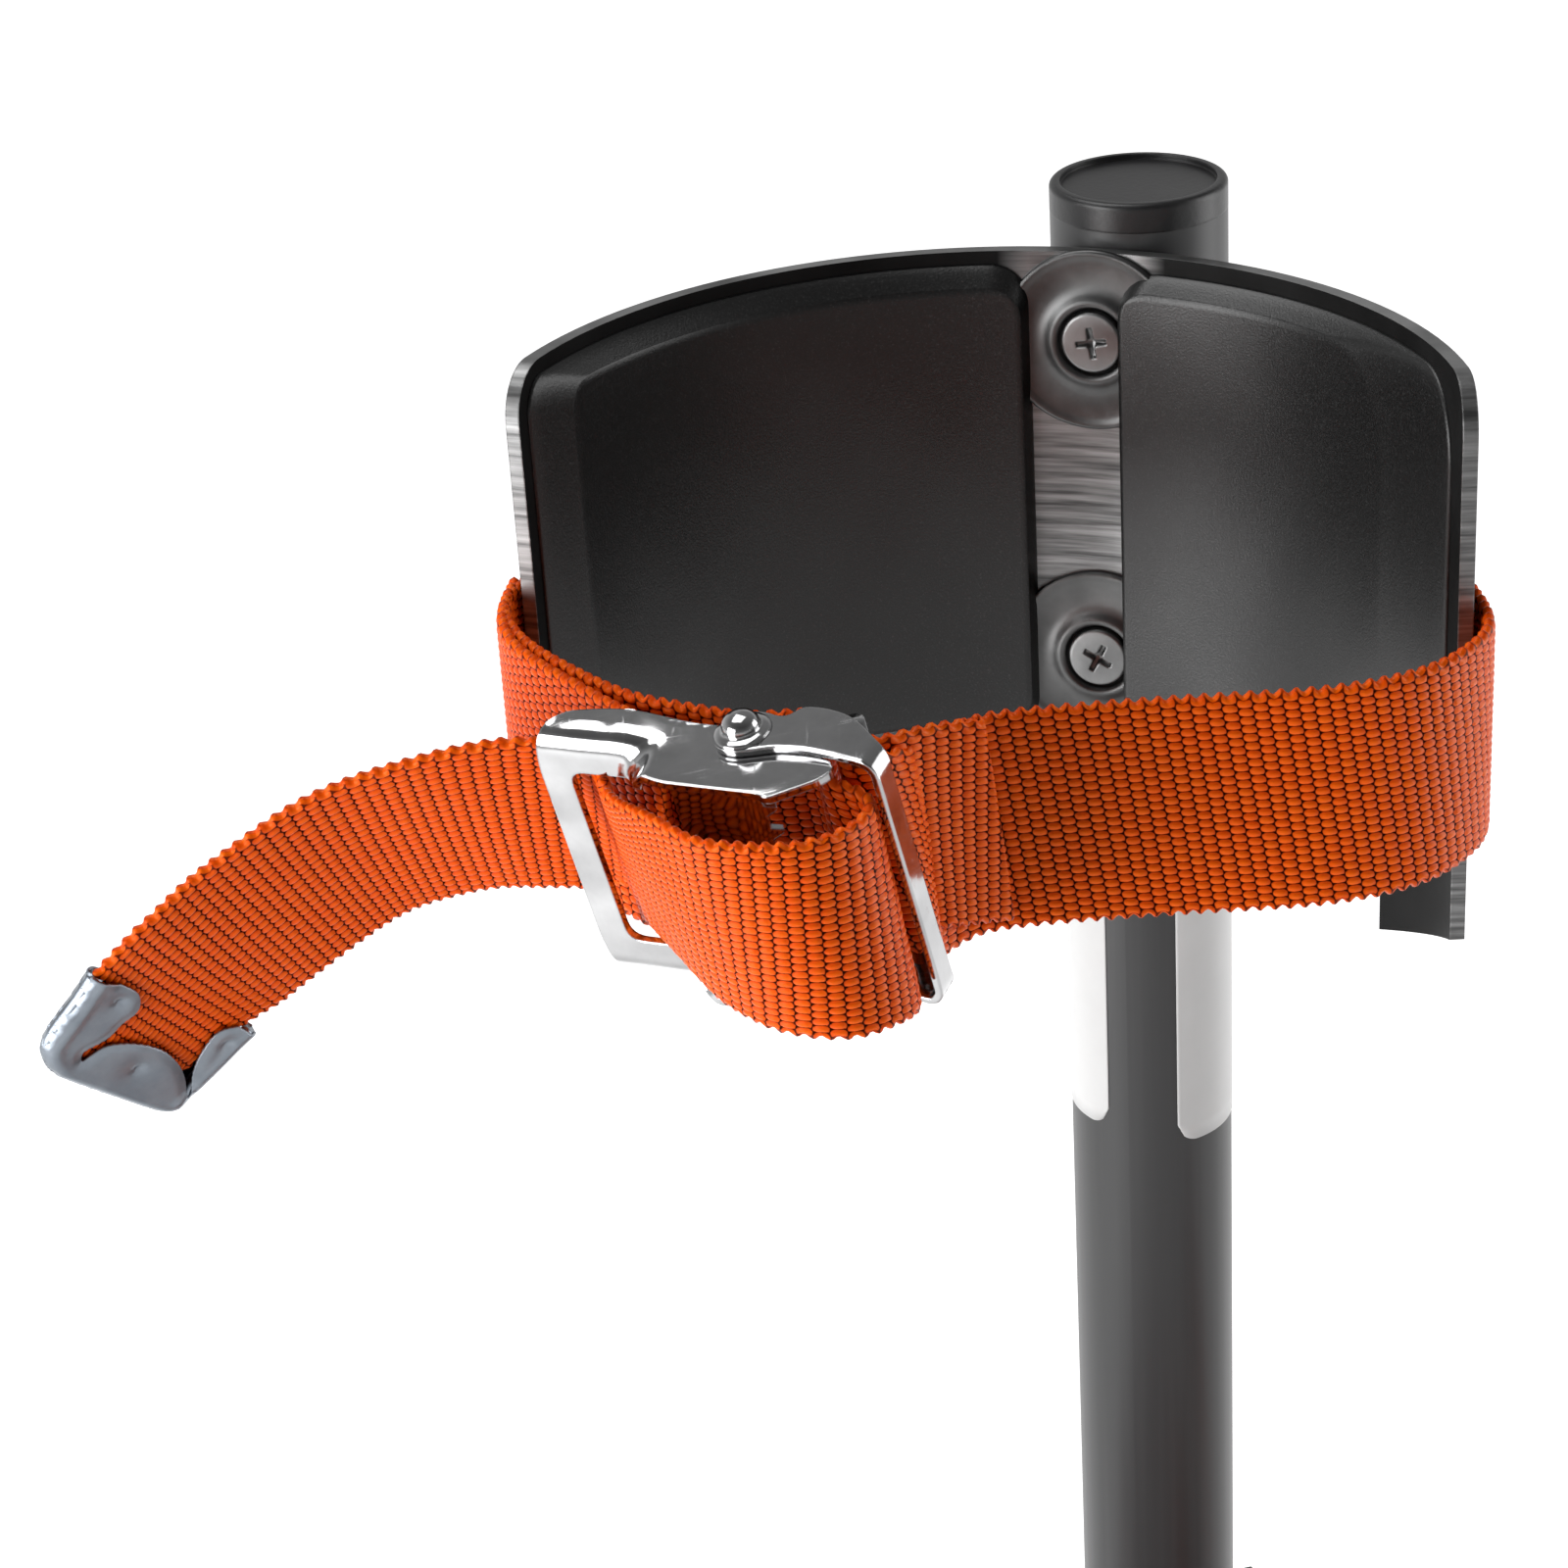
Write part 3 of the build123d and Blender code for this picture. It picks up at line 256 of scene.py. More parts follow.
def band_paint():
    """The calf plate: black paint on its faces, bare metal on its cut edges and between the pads."""
    look = Look("band_plate")
    where = look.split(look.place)
    axis = calf(BAND_CX, BAND_CY, 0)
    dx = look.maths("SUBTRACT", where["X"], axis.x)
    dy = look.maths("SUBTRACT", where["Y"], axis.y)
    outwards = look.vector_maths("NORMALIZE", look.plane(dx, dy))[0]
    normal = look.node("ShaderNodeNewGeometry").outputs["True Normal"]
    facing = look.vector_maths("DOT_PRODUCT", normal, outwards)["Value"]
    chips = look.maths("MULTIPLY", look.noise(300, detail=4), 0.2)
    edge = look.ramp(look.maths("ADD", look.maths("ABSOLUTE", facing), chips), [(0.55, 1), (0.75, 0)])
    off_gap = look.maths("ABSOLUTE", look.maths("SUBTRACT", look.maths("ARCTAN2", dy, dx), PAD_GAP))
    strip = look.ramp(look.maths("MULTIPLY", off_gap, 4.0), [(0.50, 1), (0.78, 0)])
    inside_face = look.ramp(facing, [(0.45, 1), (0.5, 0)])
    bare = look.maths("MAXIMUM", edge, look.maths("MULTIPLY", strip, inside_face))
    lines = look.noise(900, detail=4, place=look.stretched((0.05, 0.05, 1.0)))
    cloud = look.noise(60, detail=4)
    metal = look.ramp(lines, [(0.32, 0.085), (0.70, 0.33)])
    black = look.ramp(cloud, [(0.3, 0.006), (0.75, 0.013)])
    look.set("Base Color", look.mix(bare, black, metal))
    look.set("Metallic", look.maths("MULTIPLY", bare, 0.9))
    look.set("Roughness", look.mix(bare, look.between(cloud, 0.42, 0.56), look.between(lines, 0.30, 0.46)))
    look.set("Specular IOR Level", 0.06)
    look.bump(lines, 0.14, 0.10, look.round_edges(0.4))
    return look.mat


def foam():
    """Black closed-cell foam with a fine speckled skin."""
    look = Look("foam_pad")
    fine = look.noise(2600, detail=2)
    cloud = look.noise(24, detail=4)
    speck = look.ramp(fine, [(0.35, 0.002), (0.60, 0.0055), (0.74, 0.030)])
    dust = look.ramp(cloud, [(0.3, 0), (0.8, 0.4)])
    look.set("Base Color", look.mix(dust, speck, (0.005, 0.005, 0.0051)))
    look.set("Roughness", look.between(fine, 0.30, 0.46))
    look.set("Specular IOR Level", 0.55)
    look.bump(fine, 0.45, 0.10)
    return look.mat


def webbing_cloth():
    """Orange polyester webbing: a bright oval crown where each yarn comes up, with painted shade in the gaps
    between them and on one side of each crown.
    """
    look = Look("orange_webbing")
    along, across, rim = look.attribute("along"), look.attribute("across"), look.attribute("rim")
    column = look.maths("FLOOR", along)
    row_at = look.maths("ADD", across, look.maths("MULTIPLY", look.maths("FLOORED_MODULO", column, 2.0), 0.5))
    row = look.maths("FLOOR", row_at)
    offset, leaning_to = [], []
    for value, cell, weight, power in ((along, column, 0.85, 2.8), (row_at, row, 0.95, 2.4)):
        leaning_to.append(look.maths("SUBTRACT", look.maths("SUBTRACT", value, cell), 0.5))
        away = look.maths("MULTIPLY", look.maths("ABSOLUTE", leaning_to[-1]), 2.0)
        offset.append(look.maths("MULTIPLY", look.maths("POWER", away, power), weight))
    # Painted shade: each crown darkens towards one corner, as if lit from the other side.
    crown_side_shade = look.maths("ADD", 0.5, look.maths("ADD", leaning_to[0], leaning_to[1]))
    height = look.maths("SUBTRACT", 1.0, look.maths("ADD", *offset))
    crown = look.maths("MAXIMUM", look.maths("POWER", look.maths("MAXIMUM", height, 0.0), 0.5), rim)
    yarn = look.node("ShaderNodeTexWhiteNoise", noise_dimensions="3D")
    look.feed(yarn.inputs["Vector"], look.plane(column, row))
    lines = look.plane(look.maths("MULTIPLY", along, 2.2), look.maths("MULTIPLY", across, 9.0))
    threads = look.noise(1.0, detail=2, place=lines)
    # Tone by crown height: the dye's orange on the crowns, darkened to painted shade in the gaps between them.
    body = look.ramp(crown, [(0.0, (0.030, 0.004, 0.0003)), (0.38, (0.16, 0.016, 0.0005)),
                             (0.60, (0.88, 0.102, 0.0014)), (1.0, (1.0, 0.155, 0.002))])
    varied = look.mix(look.maths("MULTIPLY", yarn.outputs["Value"], 0.5), body,
                      look.mix(1.0, body, (1.0, 0.72, 0.9), "MULTIPLY"))
    worn = look.mix(look.maths("MULTIPLY", threads, 0.7), varied,
                    look.mix(1.0, varied, (0.72, 0.62, 0.5), "MULTIPLY"))
    # The painted shade on one side of each crown.
    look.set("Base Color", look.mix(look.between(crown_side_shade, 0.0, 0.75), worn,
                                    look.mix(1.0, worn, (0.80, 0.58, 0.4), "MULTIPLY")))
    look.set("Roughness", look.between(threads, 0.30, 0.48))
    look.set("Specular IOR Level", look.between(crown, 0.05, 0.42))
    look.set("Specular Tint", (1.0, 0.5, 0.2, 1))
    look.bump(threads, 0.30, 0.10)
    return look.mat


def label_film():
    """Blank white vinyl with a faint mottled satin skin."""
    look = Look("label_film")
    cloud = look.noise(60, detail=4)
    look.set("Base Color", look.ramp(cloud, [(0.3, (0.54, 0.54, 0.538)), (0.7, (0.58, 0.58, 0.578))]))
    look.set("Roughness", look.between(cloud, 0.30, 0.42))
    look.bump(cloud, 0.01, 0.02)
    return look.mat


MATERIALS = {
    "sole_rubber": moulded("sole_rubber", (0.020, 0.020, 0.021), 0.72, 1500, 0.25),
    "plate_aluminium": aluminium("plate_aluminium", 0.33, 0.50, (0.04, 1, 1), 0.34),
    "strut_aluminium": aluminium("strut_aluminium", 0.28, 0.42, (1, 1, 0.03), 0.33),
    "extension_aluminium": aluminium("extension_aluminium", 0.40, 0.55, (1, 1, 0.03), 0.24),
    "zinc_steel": plated_steel("zinc_steel", (0.24, 0.24, 0.235), (0.42, 0.42, 0.41), 0.26, 0.2),
    "spring_steel": plated_steel("spring_steel", (0.20, 0.21, 0.22), (0.42, 0.43, 0.44), 0.28, 0.15),
    "leg_tube_grey": leg_tube_paint(),
    "band_plate": band_paint(),
    "black_plastic": moulded("black_plastic", (0.0075, 0.0075, 0.008), 0.36, 900, 0.12),
    "foam_pad": foam(),
    "orange_webbing": webbing_cloth(),
    "strap_tip": plated_steel("strap_tip", (0.20, 0.225, 0.26), (0.34, 0.375, 0.42), 0.32, 0.12),
}
CHROME = plated_steel("buckle_chrome", (0.46, 0.46, 0.465), (0.60, 0.60, 0.605), 0.08, 0.12, 0.45)
WASHER = plated_steel("band_washer", (0.070, 0.070, 0.070), (0.13, 0.13, 0.13), 0.36, 0.06)
SCREW = plated_steel("band_screw", (0.15, 0.15, 0.15), (0.27, 0.27, 0.27), 0.32, 0.08)
LABEL = label_film()

for part in frame["record"]["subparts"]:
    node = frame["nodes"][part["node"]]
    node.data.materials.clear()
    node.data.materials.append(MATERIALS[part["material_slot"]])


# ------------------------ mesh helpers

def mesh_object(name, points, faces, material, body=None, replaced=(), slot=None):
    """A smooth-shaded piece from points in the row frame, riding on a body if one is named."""
    mesh = bpy.data.meshes.new(name)
    mesh.from_pydata([tuple(p) for p in points], [], faces)
    mesh.validate()
    mesh.materials.append(material)
    mesh.polygons.foreach_set("use_smooth", [True] * len(mesh.polygons))
    made = bpy.data.objects.new(name, mesh)
    bpy.context.scene.collection.objects.link(made)
    if body:
        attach(made, body)
    if replaced:
        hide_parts(*replaced)
    return made


def grid_faces(rows, columns, around=False):
    """Quads of a grid of points stored row by row; around joins each row into a ring."""
    faces = []
    for i in range(rows - 1):
        for j in range(columns if around else columns - 1):
            k = (j + 1) % columns
            faces.append((i * columns + j, i * columns + k, (i + 1) * columns + k, (i + 1) * columns + j))
    return faces


def joined(parts):
    """Several point and face lists as one."""
    points, faces = [], []
    for more, polygons in parts:
        base = len(points)
        points += more
        faces += [tuple(base + i for i in polygon) for polygon in polygons]
    return points, faces


def thicken(made, thickness):
    """Gives a middle surface its thickness."""
    shell = made.modifiers.new("thickness", "SOLIDIFY")
    shell.thickness = thickness * MM
    shell.offset = 0


def ring_points(place, side, other, radius, steps):
    """Points round a circle in the plane of two unit vectors."""
    turns = [2 * math.pi * k / steps for k in range(steps)]
    return [place + (side * math.cos(a) + other * math.sin(a)) * radius * MM for a in turns]


def lathe(profile, start, along, side, steps):
    """Points and faces of a profile of (radius, height) turned about a line."""
    along, side = Vector(along).normalized(), Vector(side).normalized()
    other = along.cross(side)
    points = []
    for radius, height in profile:
        points += ring_points(start + along * height * MM, side, other, radius, steps)
    return points, grid_faces(len(profile), steps, around=True)


def swept(path, radius, steps=14):
    """Points and faces of a round wire along a path."""
    points = []
    last = len(path) - 1
    tangents = [(path[min(i + 1, last)] - path[max(i - 1, 0)]).normalized() for i in range(len(path))]
    side = tangents[0].orthogonal().normalized()
    for place, along in zip(path, tangents):
        side = (side - along * side.dot(along)).normalized()
        points += ring_points(place, side, along.cross(side), radius, steps)
    faces = grid_faces(len(path), steps, around=True)
    faces += [tuple(range(steps - 1, -1, -1)), tuple(range(len(points) - steps, len(points)))]
    return points, faces


# ------------------------ webbing

# Half the webbing's width, one column of yarns along it, the yarns across and one yarn's share of the width,
# half the cloth's thickness below the crowns, the crowns' height, the corded edge's width, the slope of the
# columns, and the length over which a narrowed end draws in, in millimetres.
WEB_HALF = 19.0
COLUMN = 2.38
ROWS = 26
CROWN = 2 * WEB_HALF / ROWS
CLOTH_HALF = 0.62
CROWN_HEIGHT = 0.52
SELVEDGE = 1.5
SKEW = math.tan(math.radians(9.5))
TAPER = 26.0


def cubic(t, values, at):
    """A natural cubic spline through rows of values at t, read at other places."""
    n = len(t)
    h = np.diff(t)[:, None]
    system = np.eye(n)
    right = np.zeros_like(values)
    for i in range(1, n - 1):
        system[i, i - 1:i + 2] = h[i - 1, 0], 2 * (h[i - 1, 0] + h[i, 0]), h[i, 0]
        right[i] = 6 * ((values[i + 1] - values[i]) / h[i] - (values[i] - values[i - 1]) / h[i - 1])
    m = np.linalg.solve(system, right)
    k = np.clip(np.searchsorted(t, at, side="right") - 1, 0, n - 2)
    a, b, width = (t[k + 1] - at)[:, None], (at - t[k])[:, None], h[k]
    return (m[k] * a**3 + m[k + 1] * b**3) / (6 * width) + (values[k] / width - m[k] * width / 6) * a \
        + (values[k + 1] / width - m[k + 1] * width / 6) * b


def web_path(stations, step):
    """Places, centres, widths and normals at even steps along webbing given by pairs of edge points."""
    edges = np.array([[tuple(a), tuple(b)] for a, b in stations]) / MM
    centre = edges.mean(axis=1)
    t = np.concatenate([[0], np.cumsum(np.sqrt(np.linalg.norm(np.diff(centre, axis=0), axis=1)))])
    fine = np.linspace(0, t[-1], 30 * len(t))
    high, low = cubic(t, edges[:, 0], fine), cubic(t, edges[:, 1], fine)
    length = np.concatenate([[0], np.cumsum(np.linalg.norm(np.diff((high + low) / 2, axis=0), axis=1))])
    s = np.linspace(0, length[-1], max(2, int(round(length[-1] / step)) + 1))
    high = np.stack([np.interp(s, length, high[:, k]) for k in range(3)], axis=1)
    low = np.stack([np.interp(s, length, low[:, k]) for k in range(3)], axis=1)
    centre = (high + low) / 2
    width = high - low
    width /= np.linalg.norm(width, axis=1)[:, None]
    normal = np.cross(np.gradient(centre, axis=0), width)
    normal /= np.linalg.norm(normal, axis=1)[:, None]
    return s, centre, width, normal


def crowns(along, across):
    """Height of the woven yarn crowns, 0 to 1, from counts of columns along and crowns across."""
    column = np.floor(along)
    du = 2 * (along - column - 0.5)
    row = across + 0.5 * np.mod(column, 2)
    dv = 2 * (row - np.floor(row) - 0.5)
    return np.sqrt(np.clip(1 - 0.85 * np.abs(du)**2.8 - 0.95 * np.abs(dv)**2.4, 0, 1))


def webbing(name, stations, body, replaced=(), fine=5, start=0.0, narrow=0.0):
    """A strip of woven webbing: both faces and both selvedges modelled yarn by yarn.

    fine is the points along each column, start shifts the weave along the strip, and narrow is the share by
    which the strip draws in over its last stretch."""
    s, centre, width, normal = web_path(stations, COLUMN / fine)
    v = np.linspace(-WEB_HALF, WEB_HALF, ROWS * 4 + 1)
    squeeze = 1 - narrow * np.clip((s - s[-1] + TAPER) / TAPER, 0, 1)
    points, values = [], {"along": [], "across": [], "rim": []}
    for face, order in ((0, v), (1, v[-2:0:-1])):
        ss, vv = np.meshgrid(s + start, order, indexing="ij")
        along, across = (ss + SKEW * vv) / COLUMN + face, vv / CROWN
        rim = np.clip((np.abs(vv) - (WEB_HALF - SELVEDGE)) / SELVEDGE, 0, 1)
        bead = np.cos(2 * math.pi * along)
        height = crowns(along, across) * (1 - rim) + rim * (0.75 + 0.35 * bead)
        thick = (CLOTH_HALF + CROWN_HEIGHT * height) * np.sqrt(np.clip(1 - rim**2.4, 0, 1))
        out = vv * squeeze[:, None] + np.sign(vv) * rim * (0.1 + 0.5 * bead)
        lift = thick if face == 0 else -thick
        points.append(centre[:, None] + width[:, None] * out[..., None] + normal[:, None] * lift[..., None])
        values["along"].append(along)
        values["across"].append(across)
        values["rim"].append(rim * (0.75 - 0.25 * bead))
    ring = np.concatenate(points, axis=1)
    rows, columns = ring.shape[:2]
    i, j = np.meshgrid(np.arange(rows - 1), np.arange(columns), indexing="ij")
    k = (j + 1) % columns
    here, following = i * columns, (i + 1) * columns
    quads = np.stack([following + j, following + k, here + k, here + j], axis=-1)
    ends = [list(range(columns)), [(rows - 1) * columns + q for q in range(columns - 1, -1, -1)]]
    made = mesh_object(name, ring.reshape(-1, 3) * MM, quads.reshape(-1, 4).tolist() + ends,
                       MATERIALS["orange_webbing"], body, replaced, "orange_webbing")
    for key, parts in values.items():
        flat = np.concatenate(parts, axis=1).reshape(-1).astype(np.float32)
        made.data.attributes.new(key, "FLOAT", "POINT").data.foreach_set("value", flat)


# ------------------------ the buckles' frames

class Buckle:
    """A buckle's own frame, in millimetres: X along the webbing, Y towards the leg, Z across."""

    def __init__(self, body, origin, along, across):
        self.body = body
        self.origin = origin
        self.z = Vector(across).normalized()
        self.x = (Vector(along) - self.z * Vector(along).dot(self.z)).normalized()
        self.y = self.z.cross(self.x)

    def at(self, x, y, z):
        return self.origin + (self.x * x + self.y * y + self.z * z) * MM


CALF_BUCKLE = Buckle("leg_pole", calf(-72.1, -132.6, -64.9), (0.881, -0.466, 0.084), (-0.190, -0.185, 0.964))
TOE_BUCKLE = Buckle("foot", Vector((0.081, -0.026, 0.6985)), (0, 0.93, 0.367), (-1, 0, 0))
ANKLE_BUCKLE = Buckle("foot", Vector((-0.026, -0.0646, 0.659)), (1, 0.10, 0), (0, 0, 1))


# ------------------------ the calf strap's route

# The calf strap's edges below the top of the cap, where it stands upright, in millimetres.
WEB_HIGH, WEB_LOW = -47.0, -85.0


def level(x, y):
    """The webbing's two edges where it stands upright at a plan point."""
    return calf(x, y, WEB_HIGH), calf(x, y, WEB_LOW)


def leaning(pairs):
    """Edge points from the leg tube's axis and the top of its cap, upper edge first."""
    return [(calf(*top), calf(*bottom)) for top, bottom in pairs]


def in_buckle(pairs):
    return [(CALF_BUCKLE.at(*top), CALF_BUCKLE.at(*bottom)) for top, bottom in pairs]


TUBE_BEARING = 68.7
OFF_PLATE, OFF_TUBE = 2.3, 1.3


def around_back():
    """Plan points of the strap behind the plate and round the outside of the leg tube."""
    strap_r, tube_r = BAND_R + OFF_PLATE, TUBE_R + OFF_TUBE
    spread = math.degrees(math.acos((strap_r - tube_r) / math.hypot(BAND_CX, BAND_CY)))
    first, second = TUBE_BEARING - spread, TUBE_BEARING + spread
    places = [(BAND_CX, BAND_CY, strap_r, a) for a in (8, 14, first)]
    places += [(0, 0, tube_r, first + i * (second - first) / 6) for i in range(7)]
    places += [(BAND_CX, BAND_CY, strap_r, second + i * (155 - second) / 4) for i in range(5)]
    turned = [(cx, cy, r, math.radians(a)) for cx, cy, r, a in places]
    return [(cx + r * math.cos(a), cy + r * math.sin(a)) for cx, cy, r, a in turned]


def calf_strap():
    """From the fold on the link's pin, round the leg, and forward through the buckle."""
    fold = [((30.5, 27.5, 10.8), (28.5, 24.0, -26.4)), ((25.5, 19.5, 15.6), (24.5, 17.0, -22.2)),
            ((21.5, 12.8, 18.6), (21.5, 12.6, -19.4)), ((18.2, 11.4, 19), (18.2, 11.4, -19)),
            ((17.0, 9.0, 19), (17.0, 9.0, -19)), ((18.6, 6.7, 19), (18.6, 6.7, -19)),
            ((21.2, 6.9, 18.8), (21.2, 6.7, -19.2)), ((23.6, 10.6, 17.6), (23.4, 8.6, -20.4))]
    front = [(-43.6, -126.4), (-38, -120.4), (-31, -117.8), (-20, -116.8), (0, -116), (16, -115.6),
             (27, -113.4), (36, -109), (43, -102), (47.4, -93)]
    left = [(-112.4, -63.6), (-111.4, -73), (-107, -83), (-99, -94.2), (-89.4, -104.4)]
    to_buckle = [((-80, -110.6, -46.6), (-78.6, -106.6, -84.4)), ((-70, -115.6, -46), (-68.6, -111.6, -84)),
                 ((-62, -118, -45), (-60.8, -114.4, -83))]
    loop = [((6.6, 19.4, 15.2), (5.6, 14.4, -22.4)), ((10.6, 16.2, 17), (9.2, 9.2, -20.4)),
            ((12.6, 12.4, 17.8), (11.6, 4.6, -19.8)), ((13.6, 8.2, 17.8), (13.6, 1.6, -20)),
            ((16.4, 4.4, 17.2), (17.0, -1.4, -20.4)), ((21.4, 3.2, 16.6), (21.6, -1.4, -21.2)),
            ((24.6, 0.8, 16.4), (24.5, -2.8, -21.4)), ((25.6, -3.6, 17.2), (25.3, -5.8, -20.6)),
            ((24.4, -9.2, 18.8), (24.2, -9.8, -19.2)), ((19.6, -14.6, 20.6), (20.2, -15.0, -17.5))]
    loose = [((-73.6, -157.1, -47), (-67.4, -148.9, -84.1)), ((-79.4, -154.2, -47.1), (-72.6, -144.4, -84.1)),
             ((-84.3, -148, -47.4), (-77.6, -137.6, -83.9)), ((-88.8, -141.6, -48.3), (-82.8, -127.4, -83)),
             ((-91.9, -135.6, -49.6), (-87, -118.4, -82.8)), ((-93.5, -130, -50.6), (-89.6, -112, -83.2))]
    round_leg = [level(x, y) for x, y in front + around_back() + left]
    return in_buckle(fold) + round_leg + leaning(to_buckle) + in_buckle(loop) + leaning(loose)


TIP_ORIGIN = calf(-170.65, -103.2, -98.9)
TIP_U = Vector((-0.7247, -0.0561, -0.6870)).normalized()
TIP_V = Vector((-0.5537, -0.5466, 0.6290)).normalized()
TIP_V = (TIP_V - TIP_U * TIP_V.dot(TIP_U)).normalized()
TIP_N = TIP_V.cross(TIP_U).normalized()


def on_tip(u, v, w=0.0):
    """A point on the tail's metal end: u along the tail, v across it, w off its face."""
    return TIP_ORIGIN + (TIP_U * u + TIP_V * v + TIP_N * w) * MM


def tail():
    """The free end behind the lever's bar, drooping to its metal tip."""
    drooping = [
        ((-93.9, -127.5, -50.5), (-90.4, -108, -83.4)), ((-96.5, -120.0, -49.6), (-92.8, -104.2, -83.2)),
        ((-104.6, -117.2, -48.2), (-99.3, -102.2, -82)), ((-114.8, -116.0, -49), (-107.3, -100.2, -82.4)),
        ((-124.4, -115, -51.5), (-114.8, -97.6, -83.4)), ((-134.2, -113.6, -55), (-122.9, -95.6, -85.6)),
        ((-144.1, -112.9, -59.6), (-130.6, -94.2, -88.6)), ((-154.4, -112.6, -66.5), (-138.6, -93.4, -93.6)),
        ((-163.1, -112.6, -72.8), (-146.5, -93.2, -99.4)), ((-171.5, -113.2, -79.8), (-153.6, -92.4, -105.4))]
    return leaning(drooping) + [(on_tip(u, WEB_HALF), on_tip(u, -WEB_HALF)) for u in (0, 8, 16.5)]


webbing("calf_strap_webbing", calf_strap(), "leg_pole", ["calf_strap"])
webbing("calf_strap_tail_webbing", tail(), "leg_pole", ["calf_strap_tail"], start=1.4, narrow=0.30)


# ------------------------ shapes on the calf band

def corners(far_top, far_bottom, near_top, near_bottom):
    """Corner radii keyed by the side they stand on: 1 for the larger x or y, -1 for the smaller."""
    return {(1, 1): far_top, (1, -1): far_bottom, (-1, 1): near_top, (-1, -1): near_bottom}


def rounded(u, v, box, radii):
    """Places of a square of u and v, each -1 to 1, on a rectangle with its own radius at each corner."""
    x0, x1, y0, y1 = box
    x = x0 + (u + 1) / 2 * (x1 - x0)
    y = y0 + (v + 1) / 2 * (y1 - y0)
    out_x, out_y = x.copy(), y.copy()
    for (sx, sy), r in radii.items():
        cx = x1 - r if sx > 0 else x0 + r
        cy = y1 - r if sy > 0 else y0 + r
        p, q = sx * (x - cx) / r, sy * (y - cy) / r
        corner = (p > 0) & (q > 0)
        p, q = np.clip(p, 0, 1), np.clip(q, 0, 1)
        out_x = np.where(corner, cx + sx * r * p * np.sqrt(1 - q * q / 2), out_x)
        out_y = np.where(corner, cy + sy * r * q * np.sqrt(1 - p * p / 2), out_y)
    return out_x, out_y


def square_grid(columns, rows):
    return np.meshgrid(np.linspace(-1, 1, columns), np.linspace(-1, 1, rows))


def rim_of(grid):
    """The places round the edge of a grid, in order."""
    return np.concatenate([grid[0, :-1], grid[:-1, -1], grid[-1, :0:-1], grid[:0:-1, 0]])


def on_wall(x, z, height):
    """Points on the inside of the calf plate: x round it, z up and height off it, in millimetres."""
    a = np.asarray(x) / PLATE_IN
    r = PLATE_IN - np.asarray(height)
    return [calf(BAND_CX + ri * math.cos(ai), BAND_CY + ri * math.sin(ai), zi)
            for ri, ai, zi in zip(r.ravel(), a.ravel(), np.asarray(z).ravel())]


def wall_degrees(start, end):
    return math.radians(start) * PLATE_IN, math.radians(end) * PLATE_IN


# The pads' sloping border as (share of the way in, height), and the height of the middle, in millimetres.
PAD_BORDER = ((0, 0), (0, 0.35), (0.04, 0.6), (0.25, 1.35), (0.5, 2.1), (0.75, 2.8), (0.9, 3.22), (0.97, 3.42))
PAD_HIGH = 3.5


def foam_pad_piece(name, node, outline, outline_radii, crest, crest_radii):
    """A foam pad moulded with a sloping border between its outline and the crest of its raised middle."""
    columns, rows = 73, 61
    u, v = square_grid(columns, rows)
    x, z = rounded(u, v, crest, crest_radii)
    wide, tall = (crest[1] - crest[0]) / 2, (crest[3] - crest[2]) / 2
    crown = (1 - u**8) * (1 - v**8)
    waves = 0.10 * np.sin(x / 9 + 1.3) * np.sin(z / 11)
    waves += 0.05 * np.sin(x / 4.1) * np.sin(z / 5.3 + x / 17)
    inset = np.minimum((1 - np.abs(u)) * wide, (1 - np.abs(v)) * tall)
    points = on_wall(x, z, PAD_HIGH + 0.25 * crown + waves * np.clip(inset / 12, 0, 1))
    faces = grid_faces(rows, columns)
    edge_u, edge_v = rim_of(u), rim_of(v)
    in_x, in_z = rounded(edge_u, edge_v, crest, crest_radii)
    out_x, out_z = rounded(edge_u, edge_v, outline, outline_radii)
    count = len(edge_u)
    previous = rim_of(np.arange(rows * columns).reshape(rows, columns)).tolist()
    for share, high in reversed(PAD_BORDER):
        ring = list(range(len(points), len(points) + count))
        x, z = out_x + share * (in_x - out_x), out_z + share * (in_z - out_z)
        points += on_wall(x, z, np.full(count, high))
        for k in range(count):
            n = (k + 1) % count
            faces.append((previous[k], ring[k], ring[n], previous[n]))
        previous = ring
    made = mesh_object(name, points, faces, MATERIALS["foam_pad"], "leg_pole", [node], "foam_pad")


foam_pad_piece("rear_foam_pad", "rear_pad", (*wall_degrees(79.4, 157.6), -102, -10.4), corners(6, 6, 7, 7),
               (*wall_degrees(80.3, 150.4), -98.5, -13.7), corners(5, 5, 6, 6))
foam_pad_piece("front_foam_pad", "front_pad", (*wall_degrees(4.6, 67.6), -102, -11.0), corners(8, 8, 14, 12),
               (*wall_degrees(21.2, 66.9), -98.5, -13.7), corners(5.5, 6, 17, 14))


# ------------------------ washers, screws and labels

# The screws' place round the plate, the head's radius, the heights of its foot and rim, its rolled edge and
# dome, the cross recess's half length, half width and corner blend, and the washer's profile of (radius,
# height), in millimetres.
SCREW_X = math.radians(71.0) * PLATE_IN
HEAD_R = 5.6
HEAD_FOOT, HEAD_RIM, HEAD_ROLL, HEAD_DOME = 0.55, 1.45, 0.55, 0.30
RECESS_HALF, RECESS_WIDE, RECESS_BLEND = 2.9, 0.58, 0.7
WASHER_PROFILE = (
    (16.6, 0), (16.6, 0.8), (16.45, 1.08), (16.1, 1.22), (15.6, 1.16), (15.1, 0.98), (14.4, 0.86), (12.5, 0.78),
    (10.5, 0.86), (9.2, 1.08), (8.4, 1.45), (7.8, 1.85), (7.3, 2.05), (6.8, 2.0), (6.4, 1.7), (6.15, 1.2),
    (6.1, 0.6), (3.2, 0.6))


